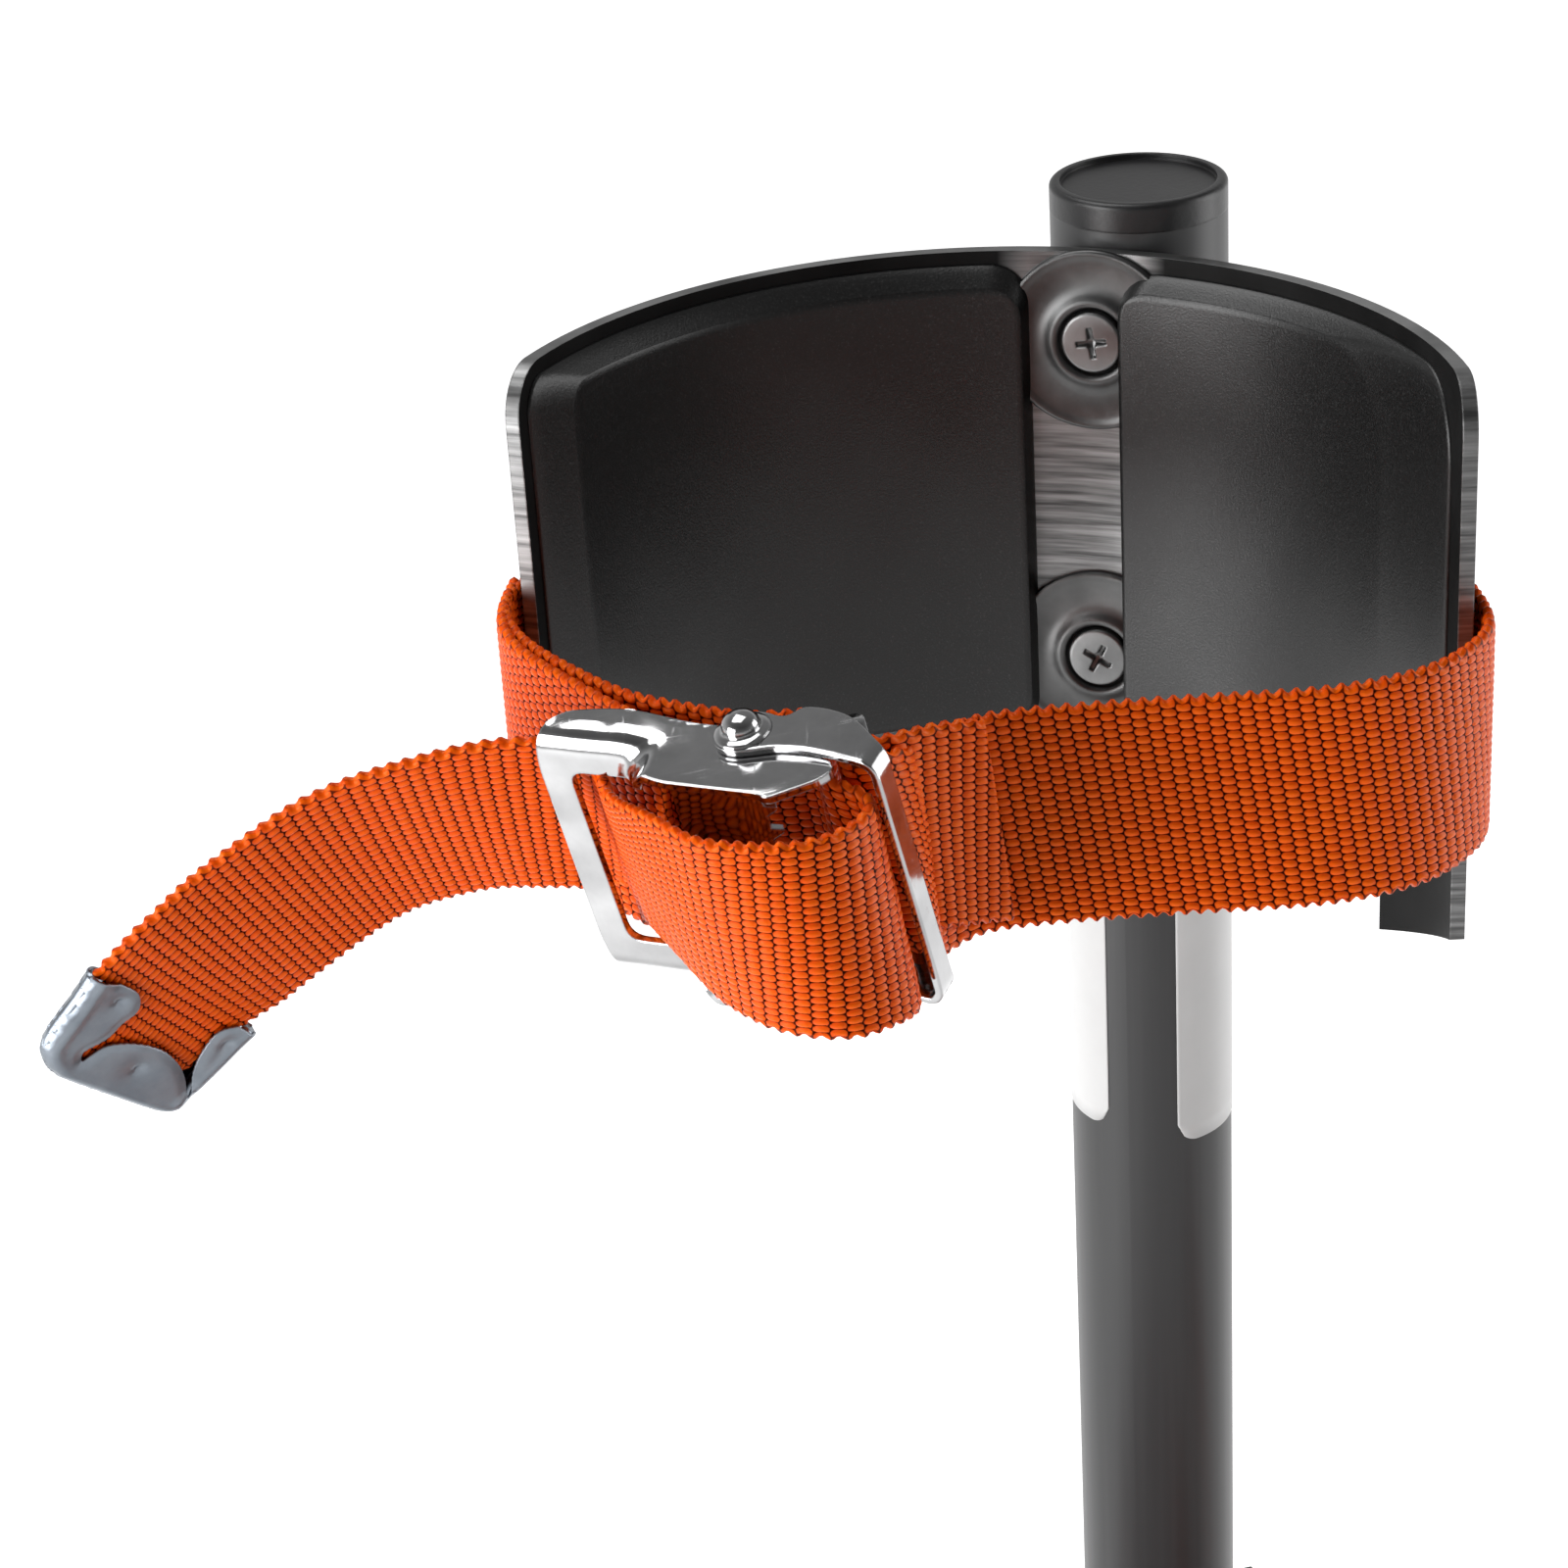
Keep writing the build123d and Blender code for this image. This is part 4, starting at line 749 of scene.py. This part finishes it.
def dished_washer(z):
    """A dished washer with a raised ring round its hole."""
    steps = 128
    turn = np.linspace(0, 2 * math.pi, steps, endpoint=False)
    x = np.concatenate([SCREW_X + r * np.cos(turn) for r, _ in WASHER_PROFILE])
    up = np.concatenate([z + r * np.sin(turn) for r, _ in WASHER_PROFILE])
    high = np.concatenate([np.full(steps, h) for _, h in WASHER_PROFILE])
    return on_wall(x, up, high), grid_faces(len(WASHER_PROFILE), steps, around=True)


def recess_depth(x, y, turned):
    """Depth of a cross recess with rounded inner corners, turned by some degrees."""
    turn = math.radians(turned)
    a = np.abs(x * math.cos(turn) + y * math.sin(turn))
    b = np.abs(-x * math.sin(turn) + y * math.cos(turn))
    one, two = np.maximum(a - RECESS_HALF, b - RECESS_WIDE), np.maximum(b - RECESS_HALF, a - RECESS_WIDE)
    share = np.clip(0.5 + 0.5 * (two - one) / RECESS_BLEND, 0, 1)
    outside = two * (1 - share) + one * share - RECESS_BLEND * share * (1 - share)
    wall = np.clip(-outside / 0.28, 0, 1)
    return wall * wall * (3 - 2 * wall) * np.clip(1.75 - 0.42 * np.hypot(x, y), 0.45, 2)


def screw_head(z, turned):
    """A domed round head with a rolled rim, inside the washer's ring."""
    n = 121
    u, v = square_grid(n, n)
    x, up = rounded(u, v, (-HEAD_R, HEAD_R, -HEAD_R, HEAD_R), corners(HEAD_R, HEAD_R, HEAD_R, HEAD_R))
    r = np.hypot(x, up)
    edge = np.clip((HEAD_R - r) / HEAD_ROLL, 0, 1)
    head = HEAD_RIM + HEAD_ROLL * np.sqrt(1 - (1 - edge)**2) + HEAD_DOME * (1 - (r / HEAD_R)**2)
    points = on_wall(SCREW_X + x, z + up, head - recess_depth(x, up, turned))
    faces = grid_faces(n, n)
    rim = rim_of(np.arange(n * n).reshape(n, n)).tolist()
    base, count = len(points), len(rim)
    points += on_wall(SCREW_X + rim_of(x), z + rim_of(up), np.full(count, HEAD_FOOT))
    for k in range(count):
        following = (k + 1) % count
        faces.append((rim[k], base + k, base + following, rim[following]))
    return points, faces


SCREWS = ((-24.0, -8), (-85.0, 27))
mesh_object("band_washers", *joined([dished_washer(z) for z, _ in SCREWS]), WASHER, "leg_pole",
            ["dish_washers"], "zinc_steel")
mesh_object("band_screw_heads", *joined([screw_head(z, turned) for z, turned in SCREWS]), SCREW, "leg_pole",
            ["band_screws"], "zinc_steel")

LABEL_TOP, LABEL_CORNER, LABEL_OFF = -100.0, 4.5, 0.1


def label(name, start, end, bottom):
    """A blank white sticker round part of the leg tube, its top end under the strap."""
    columns, rows = 61, 25
    u, v = square_grid(columns, rows)
    half = math.radians((end - start) / 2) * TUBE_R
    x, z = rounded(u, v, (-half, half, bottom, LABEL_TOP), corners(*[LABEL_CORNER] * 4))
    bearing = math.radians((start + end) / 2) + x.ravel() / TUBE_R
    out = TUBE_R + LABEL_OFF
    points = [calf(out * math.cos(a), out * math.sin(a), zi) for a, zi in zip(bearing, z.ravel())]
    made = mesh_object(name, points, grid_faces(rows, columns), LABEL, "leg_pole", slot="leg_tube_grey")
    thicken(made, 0.12)


label("blank_label_left", 150.0, 233.5, -189.0)
label("blank_label_right", -76.5, 40.0, -192.0)


# ------------------------ pressed sheet pieces

# Rows of a triangle grid, as a share of its spacing.
ROW_STEP = 0.866


def inside(point, outline):
    """Whether a flat point is inside a closed outline."""
    x, y = point
    found = False
    for (x0, y0), (x1, y1) in zip(outline, outline[1:] + outline[:1]):
        if (y0 > y) != (y1 > y) and x < x0 + (y - y0) * (x1 - x0) / (y1 - y0):
            found = not found
    return found


def softened(outline, radius, steps=6):
    """A closed outline with each corner rounded."""
    points = []
    n = len(outline)
    for i in range(n):
        before, here, after = (Vector(outline[j % n]) for j in (i - 1, i, i + 1))
        one, two = before - here, after - here
        reach = min(radius, one.length * 0.45, two.length * 0.45)
        if reach < 0.05:
            points.append(tuple(here))
            continue
        a, b = here + one.normalized() * reach, here + two.normalized() * reach
        for k in range(steps + 1):
            t = k / steps
            points.append(tuple(a * (1 - t)**2 + here * 2 * t * (1 - t) + b * t * t))
    return points


def evenly(outline, spacing):
    """The outline with points no further apart than the spacing."""
    points = []
    for a, b in zip(outline, outline[1:] + outline[:1]):
        a, b = Vector(a), Vector(b)
        count = max(1, math.ceil((b - a).length / spacing))
        points += [tuple(a + (b - a) * k / count) for k in range(count)]
    return points


def flat_sheet(outline, holes=(), spacing=1.0):
    """Triangles that fill a flat outline, leaving its holes open."""
    rings = [evenly(line, spacing) for line in (outline, *holes)]
    points, edges = [], []
    for ring in rings:
        base = len(points)
        points += [Vector(p) for p in ring]
        edges += [(base + k, base + (k + 1) % len(ring)) for k in range(len(ring))]

    def on_metal(place):
        return inside(place, rings[0]) and not any(inside(place, hole) for hole in rings[1:])

    edge_points = np.array([tuple(p) for p in points])
    low, high = edge_points.min(axis=0), edge_points.max(axis=0)
    for row, y in enumerate(np.arange(low[1] + spacing / 2, high[1], spacing * ROW_STEP)):
        for x in np.arange(low[0] + spacing * (0.5 if row % 2 else 1.0), high[0], spacing):
            near = np.min((edge_points[:, 0] - x)**2 + (edge_points[:, 1] - y)**2)
            if near > (0.55 * spacing)**2 and on_metal((x, y)):
                points.append(Vector((x, y)))
    flat, _, triangles = delaunay_2d_cdt(points, edges, [], 0, 1e-5)[:3]
    kept = []
    for triangle in triangles:
        middle = sum((flat[i] for i in triangle), Vector((0, 0))) / len(triangle)
        if on_metal(middle):
            kept.append(tuple(triangle))
    return [tuple(p) for p in flat], kept


def pressed(name, parts, thickness, material, body, replaced=(), slot=None, bevel=0.35):
    """A piece of bent sheet metal from middle surfaces, given its thickness and broken edges."""
    made = mesh_object(name, *joined(parts), material, body, replaced, slot)
    thicken(made, thickness)
    rim = made.modifiers.new("rim", "BEVEL")
    rim.width = bevel * MM
    rim.segments = 3
    rim.limit_method = "ANGLE"
    rim.angle_limit = math.radians(55)
    rim.harden_normals = True


def smooth(x, low, high):
    """0 below low, 1 above high, and an easy curve between."""
    t = min(1, max(0, (x - low) / (high - low)))
    return t * t * (3 - 2 * t)


# ------------------------ cam buckles

# Millimetres in a buckle's frame. Each arm of the lever is folded LEVER_MIDDLE from the middle of its pattern.
PIVOT = (3.6, 4.5)
LINK_PIN = (20.0, 9.4)
BUCKLE_SHEET = 1.4
LEVER_BEND = 3.0
LEVER_MIDDLE = 26.0
LEVER_HALF, LEVER_FLARE = 22.3, 2.0
CAM_HALF, CAM_BACK, CAM_FRONT, CAM_OFF = 22, -4.6, 10.0, -5.6
TEETH, TOOTH_PITCH = 9, 4.4
LINK_HALF = 23.8
LINK_BEND = 2.6
LINK_END = 27.0


def circle(x, y, radius):
    turns = [2 * math.pi * k / 24 for k in range(24)]
    return [(x + radius * math.cos(a), y + radius * math.sin(a)) for a in turns]


def mirrored(outline):
    """The outline's points at the other side of its first axis, in reverse order."""
    return [(x, -y) for x, y in reversed(outline)]


def lever_point(buckle, x, q):
    """The lever's flat pattern bent to shape: q runs from one flange's edge across to the other's."""
    half = LEVER_HALF + LEVER_FLARE * smooth(-x, 4, 18)
    fold = math.pi / 2 * smooth(-x, 8.5, 16.5)
    side = 1 if q >= 0 else -1
    m = LEVER_MIDDLE - abs(q)
    if m <= 0:
        y, z = LEVER_BEND - m, half
    elif m < LEVER_BEND * fold:
        y = LEVER_BEND - LEVER_BEND * math.sin(m / LEVER_BEND)
        z = half - LEVER_BEND * (1 - math.cos(m / LEVER_BEND))
    else:
        rest = m - LEVER_BEND * fold
        y = LEVER_BEND * (1 - math.sin(fold)) - rest * math.cos(fold)
        z = half - LEVER_BEND * (1 - math.cos(fold)) - rest * math.sin(fold)
    return buckle.at(x, y, side * z)


def cam_point(buckle, x, z):
    """The cam bar's flat pattern with its toothed edge curled towards the webbing."""
    lean = max(0.0, x - 6.5)
    return buckle.at(x - 0.15 * lean, CAM_OFF + 0.055 * lean * lean, z)


def lever(name, buckle, body, node):
    """The lever: a broad front bar whose arms fold back into two flanges, and a toothed cam bar."""
    half = [(-32.0, 17.5), (-31.4, 21.5), (-30.0, 25.2), (-27.4, 28.0), (-21, 29.4), (8, 30.4), (12.4, 29.4),
            (16.6, 25.6), (20, 24), (20.8, 22.2),
            (19.6, 20), (13.2, 14.8), (11, 15.8), (-6, 16.1), (-10.5, 16.8), (-15.5, 17.4), (-26.8, 17.4)]
    hole = circle(PIVOT[0], LEVER_MIDDLE - LEVER_BEND + PIVOT[1], 2.0)
    holes = [hole, [(x, -q) for x, q in hole]]
    flat, triangles = flat_sheet(softened(half + mirrored(half), 3.0), holes)
    flanges = ([lever_point(buckle, x, q) for x, q in flat], triangles)
    tooth = ((0.6, -1.1), (2.4, -0.3), (2.4, 0.3), (0.6, 1.1))
    edge = []
    for k in range(TEETH):
        z = (k - (TEETH - 1) / 2) * TOOTH_PITCH
        edge += [(CAM_FRONT + out, z + step) for out, step in tooth]
    bar = [(CAM_BACK, -CAM_HALF), (CAM_FRONT, -CAM_HALF), *edge, (CAM_FRONT, CAM_HALF), (CAM_BACK, CAM_HALF)]
    flat, triangles = flat_sheet(bar, spacing=1.2)
    cam = ([cam_point(buckle, x, z) for x, z in flat], triangles)
    pressed(name, [flanges, cam], BUCKLE_SHEET, CHROME, body, [node], "zinc_steel")


def link_point(buckle, t, y):
    """The link's strip bent to a U: t runs along one side plate, across the end bar and back."""
    flat_half = LINK_HALF - LINK_BEND
    a = abs(t)
    side = 1 if t >= 0 else -1
    if a <= flat_half:
        return buckle.at(LINK_END, y, t)
    turn = (a - flat_half) / LINK_BEND
    if turn < math.pi / 2:
        return buckle.at(LINK_END - LINK_BEND * (1 - math.cos(turn)), y,
                         side * (flat_half + LINK_BEND * math.sin(turn)))
    return buckle.at(LINK_END - LINK_BEND - (a - flat_half - LINK_BEND * math.pi / 2), y, side * LINK_HALF)


def link(name, buckle, node):
    """The link: two side plates and an end bar pressed from one strip, and the pin across it."""
    span = LINK_HALF - LINK_BEND + LINK_BEND * math.pi / 2
    start = span + LINK_END - LINK_BEND
    profile = [(25.2, 0.3), (20.4, 1.3), (15, 2.0), (10, 1.7), (6.5, 0.4), (3.4, -0.3), (0.8, 0.5),
               (-0.9, 2.6), (-1.1, 5.4), (0.2, 8.0), (2.6, 9.5), (5.2, 9.6), (7.8, 8.9), (9.2, 9.3),
               (10.6, 11.6), (14, 11.8), (18.4, 10.8), (22.4, 8.4), (25.8, 5.4)]
    side = [(start - x, y) for x, y in profile] + [(span - 4.5, 4.7)]
    outline = [(0, 0.3), *side, (0, 4.7)] + [(-t, y) for t, y in reversed(side)]
    hole = circle(start - PIVOT[0], PIVOT[1], 1.9)
    flat, triangles = flat_sheet(softened(outline, 1.6, 4), [hole, [(-t, y) for t, y in hole]])
    strip = ([link_point(buckle, t, y) for t, y in flat], triangles)
    pressed(name, [strip], BUCKLE_SHEET, CHROME, buckle.body, [node], "zinc_steel")
    reach = LINK_HALF + 0.4
    pin = ((0, -reach), (1.8, -reach), (1.8, reach), (0, reach))
    points, faces = lathe(pin, buckle.at(*LINK_PIN, 0), buckle.z, buckle.x, 24)
    mesh_object(name + "_pin", points, faces, CHROME, buckle.body, slot="zinc_steel")


def rivets(name, buckle, node):
    """Rivet heads on raised bosses, outside and inside each side of the buckle, the lower ones flatter."""
    head = ((0, 3.35), (0.9, 3.28), (1.8, 3.0), (2.5, 2.5), (2.95, 1.8), (3.05, 1.2), (2.9, 0.75), (3.5, 0.62),
            (4.3, 0.35), (4.7, 0), (2.0, 0), (2.0, -3.4), (3.2, -3.4), (3.1, -3.9), (2.2, -4.3), (0, -4.5))
    flatter = [(r, h * 0.4 if h > 0 else h) for r, h in head]
    parts = [lathe(shape, buckle.at(*PIVOT, up * (LINK_HALF + 0.7)), buckle.z * up, buckle.x * up, 40)
             for up, shape in ((1, head), (-1, flatter))]
    mesh_object(name, *joined(parts), CHROME, buckle.body, [node], "zinc_steel")


BUCKLES = (("calf", CALF_BUCKLE), ("toe", TOE_BUCKLE), ("ankle", ANKLE_BUCKLE))
for which, buckle in BUCKLES:
    lever(which + "_lever_sheet", buckle, which + "_lever", which + "_buckle_lever")
    link(which + "_link_sheet", buckle, which + "_buckle_link")
for which, buckle in BUCKLES:
    rivets(which + "_rivet_heads", buckle, ("calf" if which == "calf" else "foot") + "_buckle_rivets")


# ------------------------ the tail's metal end

# The end's outline and the line where its three leaves meet the webbing, drawn on a 34 mm wide pattern.
TIP_WIDER = 38 / 34
TIP_BACK = ((0, 16), (6.4, 14.8), (15.3, 13.4), (18.7, 11), (20.6, 7.6), (21, 4.9), (21.4, -5.9),
            (21.5, -14.3), (20, -17.1), (18.1, -17.6), (11.3, -17.8), (0, -18.1))
TIP_LEAVES = ((-1, 11.2), (-0.3, 7.2), (2.7, 4.9), (6.3, 5.4), (9.9, 5.5), (13.9, 7.1), (15.9, 6.0),
              (14.1, 5.4), (11.3, 4.3), (9.3, 0.5), (8.8, -4.7), (10.3, -9.3), (12.9, -13), (16.4, -16.2),
              (15.4, -16.2), (11, -13.2), (6.3, -11.5), (1.6, -11.2), (-0.6, -13.4))
TIP_DIMPLES = ((2.3, 8.9), (13.9, -3.9), (3.5, -14.3))
TIP_PUFF = 2.05


def wider(points):
    return [(u, v * TIP_WIDER) for u, v in points]


def curved_line(points, per=5):
    """A smooth line through points, for the rounded edges of pressed leaves."""
    last = len(points) - 1
    result = []
    for i in range(last):
        p0, p1, p2, p3 = (np.array(points[min(max(i + k, 0), last)]) for k in (-1, 0, 1, 2))
        for t in (j / per for j in range(per)):
            place = 2 * p1 + (p2 - p0) * t + (2 * p0 - 5 * p1 + 4 * p2 - p3) * t * t
            result.append(tuple(0.5 * (place + (3 * p1 - p0 - 3 * p2 + p3) * t**3)))
    return result + [tuple(points[-1])]


def away(line, u, v):
    """Distance from the nearest of a line's points."""
    return float(np.sqrt(np.min((line[:, 0] - u)**2 + (line[:, 1] - v)**2)))


def metal_tip():
    """The folded end: a back plate and three leaves pinched down with dimples."""
    outer = wider(curved_line(TIP_BACK))
    leaves = curved_line(wider(TIP_LEAVES), per=4)
    leaf_edge = np.array(leaves)
    fold = np.array(evenly(outer, 0.3))
    fold = fold[fold[:, 0] > 0.2]
    parts = []
    for side, outline in ((1, outer + leaves[::-1]), (-1, outer)):
        flat, triangles = flat_sheet(outline, spacing=0.8)
        points = []
        for u, v in flat:
            from_fold = away(fold, u, v)
            rim = min(1.0, from_fold / 2.3)
            w = TIP_PUFF * math.sqrt(max(0.0, 1 - (1 - rim)**2))
            if side > 0:
                w += 0.30 * math.exp(-((from_fold - 1.9) / 0.9)**2)
                w -= 0.42 * math.exp(-(away(leaf_edge, u, v) / 0.9)**2)
                for du, dv in wider(TIP_DIMPLES):
                    gap = math.hypot(u - du, v - dv)
                    w -= 0.75 * math.exp(-(gap / 0.8)**2) + 0.30 * math.exp(-(gap / 3.2)**2)
            points.append(on_tip(u, v, w * side))
        parts.append((points, triangles if side > 0 else [t[::-1] for t in triangles]))
    pressed("metal_strap_end", parts, 0.5, MATERIALS["strap_tip"], "leg_pole", ["calf_strap_tip"],
            "strap_tip", bevel=0.15)


def tip_rim():
    """The rolled fold round the end, just inside its outline."""
    path = [on_tip(u * 0.945, v * 0.93, 0.1) for u, v in wider(curved_line(TIP_BACK))]
    mesh_object("strap_end_rim", *swept(path, 1.45), MATERIALS["strap_tip"], "leg_pole", slot="strap_tip")


metal_tip()
tip_rim()


# ------------------------ second layer, foot straps

OUTER_LAYER = ((-111.6, -55.4), (-112.8, -64.4), (-112.4, -73.8), (-108.8, -84.2), (-101.4, -95.6),
               (-95.6, -103.4), (-90.0, -110.4), (-84.6, -116.4))
TOE_X = 81.0
ANKLE_Z, ANKLE_R, HEEL_X = 659.0, 47.3, -76.0


def toe_arch():
    """Over the shoe from one lip of the foot plate to the other."""
    half = [(-48.7, 596), (-48.9, 612), (-51.5, 640), (-50.5, 662), (-42, 682), (-24, 696)]
    arch = half + [(0, 701)] + [(-y, z) for y, z in reversed(half)]
    return [(Vector((TOE_X - WEB_HALF, y, z)) * MM, Vector((TOE_X + WEB_HALF, y, z)) * MM) for y, z in arch]


def ankle_loop():
    """Round the heel cup and forward to the buckle, open where it meets itself there."""
    heel = [math.radians(180 - 7.5 * i) for i in range(12)]
    half = [(HEEL_X + ANKLE_R * math.cos(a), ANKLE_R * math.sin(a)) for a in heel]
    half += [(-60, 49.6), (-30, 49.6), (-6, 44), (12, 30), (20, 10)]
    return [(Vector((x, y, ANKLE_Z + WEB_HALF)) * MM, Vector((x, y, ANKLE_Z - WEB_HALF)) * MM)
            for x, y in half + mirrored(half)]


webbing("calf_strap_outer_layer", [level(x, y) for x, y in OUTER_LAYER], "leg_pole", start=0.9)
webbing("toe_strap_webbing", toe_arch(), "foot", ["toe_strap"], fine=4)
webbing("ankle_strap_webbing", ankle_loop(), "foot", ["ankle_strap"], fine=4)


# ------------------------ springs

# The ends on the base and on a strut's collar in metres, the rest in millimetres, radians and degrees.
SPRING_PIN = Vector((0.014, 0, 0.039))
SPRING_LUG = Vector((0.075, 0, 0.150))
WIRE_R, COIL_R, EYE_R = 1.35, 7.6, 4.6
COIL_PITCH, OPEN_END = 4.3, 13.5
COIL_START = 0.35
STEPS_A_TURN, EYE_STEPS, BRIDGE_STEPS = 28, 16, 8
EYE_SWEEP = 235


def spring_line(length):
    """The wire's middle line, (along, across, off) in millimetres: an eye, the coil and another eye."""
    low, high = OPEN_END, length - OPEN_END
    turns = (high - low) / COIL_PITCH
    shares = [k / BRIDGE_STEPS for k in range(1, BRIDGE_STEPS)]
    sweeps = [EYE_SWEEP * k / EYE_STEPS for k in range(EYE_STEPS + 1)]
    line = []
    for a in (math.radians(-60 + sweep) for sweep in sweeps):
        line.append((-EYE_R * math.cos(a), 0, -EYE_R * math.sin(a)))
    for t in shares:
        off = 0.9 * COIL_R * math.sin(t * math.pi / 2)
        line.append((EYE_R * (1 - t) + low * t, 0.35 * COIL_R * t * t, off))
    count = int(turns * STEPS_A_TURN)
    for k in range(count + 1):
        a = 2 * math.pi * turns * k / count + COIL_START
        line.append((low + (high - low) * k / count, COIL_R * math.sin(a), COIL_R * math.cos(a)))
    last = line[-1]
    for t in shares:
        left = 1 - math.sin(t * math.pi / 2)
        line.append((high + (OPEN_END - EYE_R * 0.8) * t, last[1] * left, last[2] * left + EYE_R * 0.6 * t))
    for a in (math.radians(140 - sweep) for sweep in sweeps):
        line.append((length + EYE_R * math.cos(a), 0, EYE_R * math.sin(a)))
    return line


def coil_spring(name, sign, node):
    """A close-wound pull spring with an open hook at each end, between the base and a strut."""
    start, end = (Vector((place.x * sign, 0, place.z)) for place in (SPRING_PIN, SPRING_LUG))
    along = (end - start).normalized()
    side = Vector((0, 1, 0))
    off = along.cross(side)
    line = spring_line((end - start).length / MM)
    path = [start + (along * a + side * b + off * c) * MM for a, b, c in line]
    made = mesh_object(name, *swept(path, WIRE_R), MATERIALS["spring_steel"], None, [node], "spring_steel")
    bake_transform(made)


coil_spring("front_coil_spring", 1, "front_spring")
coil_spring("rear_coil_spring", -1, "rear_spring")


# ------------------------ floor, lights, camera

FLOOR_HALF, FLOOR_Z = 9.0, -0.0003


def floor():
    """Pale paper that glows behind the part and further out, so that it stays white in the picture."""
    look = Look("floor_paper")
    look.set("Roughness", 0.9)
    look.set("Base Color", look.ramp(look.noise(3, detail=2), [(0.3, 0.86), (0.7, 0.88)]))
    reach = look.vector_maths("LENGTH", look.place)["Value"]
    behind = look.ramp(look.split(look.place)["Y"], [(0.15, 0.06), (0.65, 0.95)])
    far = look.ramp(look.maths("MULTIPLY", reach, 0.4), [(0.16, 0.06), (0.55, 0.46)])
    look.set("Emission Color", (1, 1, 1, 1))
    look.set("Emission Strength", look.maths("MAXIMUM", behind, far))
    corner_signs = ((-1, -1), (1, -1), (1, 1), (-1, 1))
    places = [(x * FLOOR_HALF, y * FLOOR_HALF, FLOOR_Z) for x, y in corner_signs]
    mesh_object("floor", places, [(0, 1, 2, 3)], look.mat)


def softbox(name, place, target, size, power):
    """A soft rectangular lamp aimed at a point; all in metres and watts."""
    lamp = bpy.data.lights.new(name, "AREA")
    lamp.shape = "RECTANGLE"
    lamp.size, lamp.size_y = size
    lamp.energy = power
    made = bpy.data.objects.new(name, lamp)
    bpy.context.scene.collection.objects.link(made)
    made.location = place
    made.rotation_euler = (Vector(target) - Vector(place)).to_track_quat("-Z", "Y").to_euler()


def room():
    """A white backdrop whose light on the part fades towards the front and upwards."""
    world = bpy.data.worlds.new("studio")
    world.use_nodes = True
    light = Nodes(world.node_tree, "Background")
    axes = light.split(light.coordinates("Generated"))
    front_to_back = light.between(axes["Y"], 0.18, 0.80, -0.85, 0.7)
    low_to_high = light.between(axes["Z"], 1.0, 0.35, 0.1, 0.6)
    seen = light.node("ShaderNodeLightPath").outputs["Is Camera Ray"]
    light.set("Color", light.mix(seen, light.maths("MULTIPLY", front_to_back, low_to_high), (1.3, 1.3, 1.3)))
    light.set("Strength", 0.85)
    bpy.context.scene.world = world


# The photographer's place from the leg tube's top in millimetres, the view's turns in degrees, the focal
# length in picture widths, and the sensor's width in millimetres.
EYE = (-52.39, -634.86, 200.62)
TILT, PAN, ROLL = 26.53, -1.55, -3.652
FOCAL = 2.35974
SENSOR = 36.0


def camera():
    """The photographer's view: from above the calf band, looking down at it."""
    tilt, pan, roll = (math.radians(turn) for turn in (TILT, PAN, ROLL))
    forward = Vector((math.sin(pan) * math.cos(tilt), math.cos(pan) * math.cos(tilt), -math.sin(tilt)))
    right = forward.cross(Vector((0, 0, 1))).normalized()
    up = right.cross(forward)
    turned_right = math.cos(roll) * right + math.sin(roll) * up
    turned_up = -math.sin(roll) * right + math.cos(roll) * up
    data = bpy.data.cameras.new("camera")
    data.sensor_width = SENSOR
    data.lens = SENSOR * FOCAL
    data.clip_start = 0.02
    made = bpy.data.objects.new("camera", data)
    bpy.context.scene.collection.objects.link(made)
    rotation = Matrix((turned_right, turned_up, -forward)).transposed().to_4x4()
    made.matrix_world = Matrix.Translation(calf(*EYE)) @ rotation
    bpy.context.scene.camera = made


floor()
softbox("left_softbox", (-1.40, -0.75, 0.95), (-0.06, -0.03, 0.93), (1.0, 1.2), 30)
softbox("right_softbox", (1.45, 0.10, 1.15), (-0.03, 0.02, 0.95), (0.9, 1.5), 13)
softbox("top_softbox", (-0.55, 0.32, 2.35), (-0.03, 0.0, 0.9), (0.9, 0.9), 12)
room()
camera()
bpy.context.scene.view_settings.view_transform = "Standard"
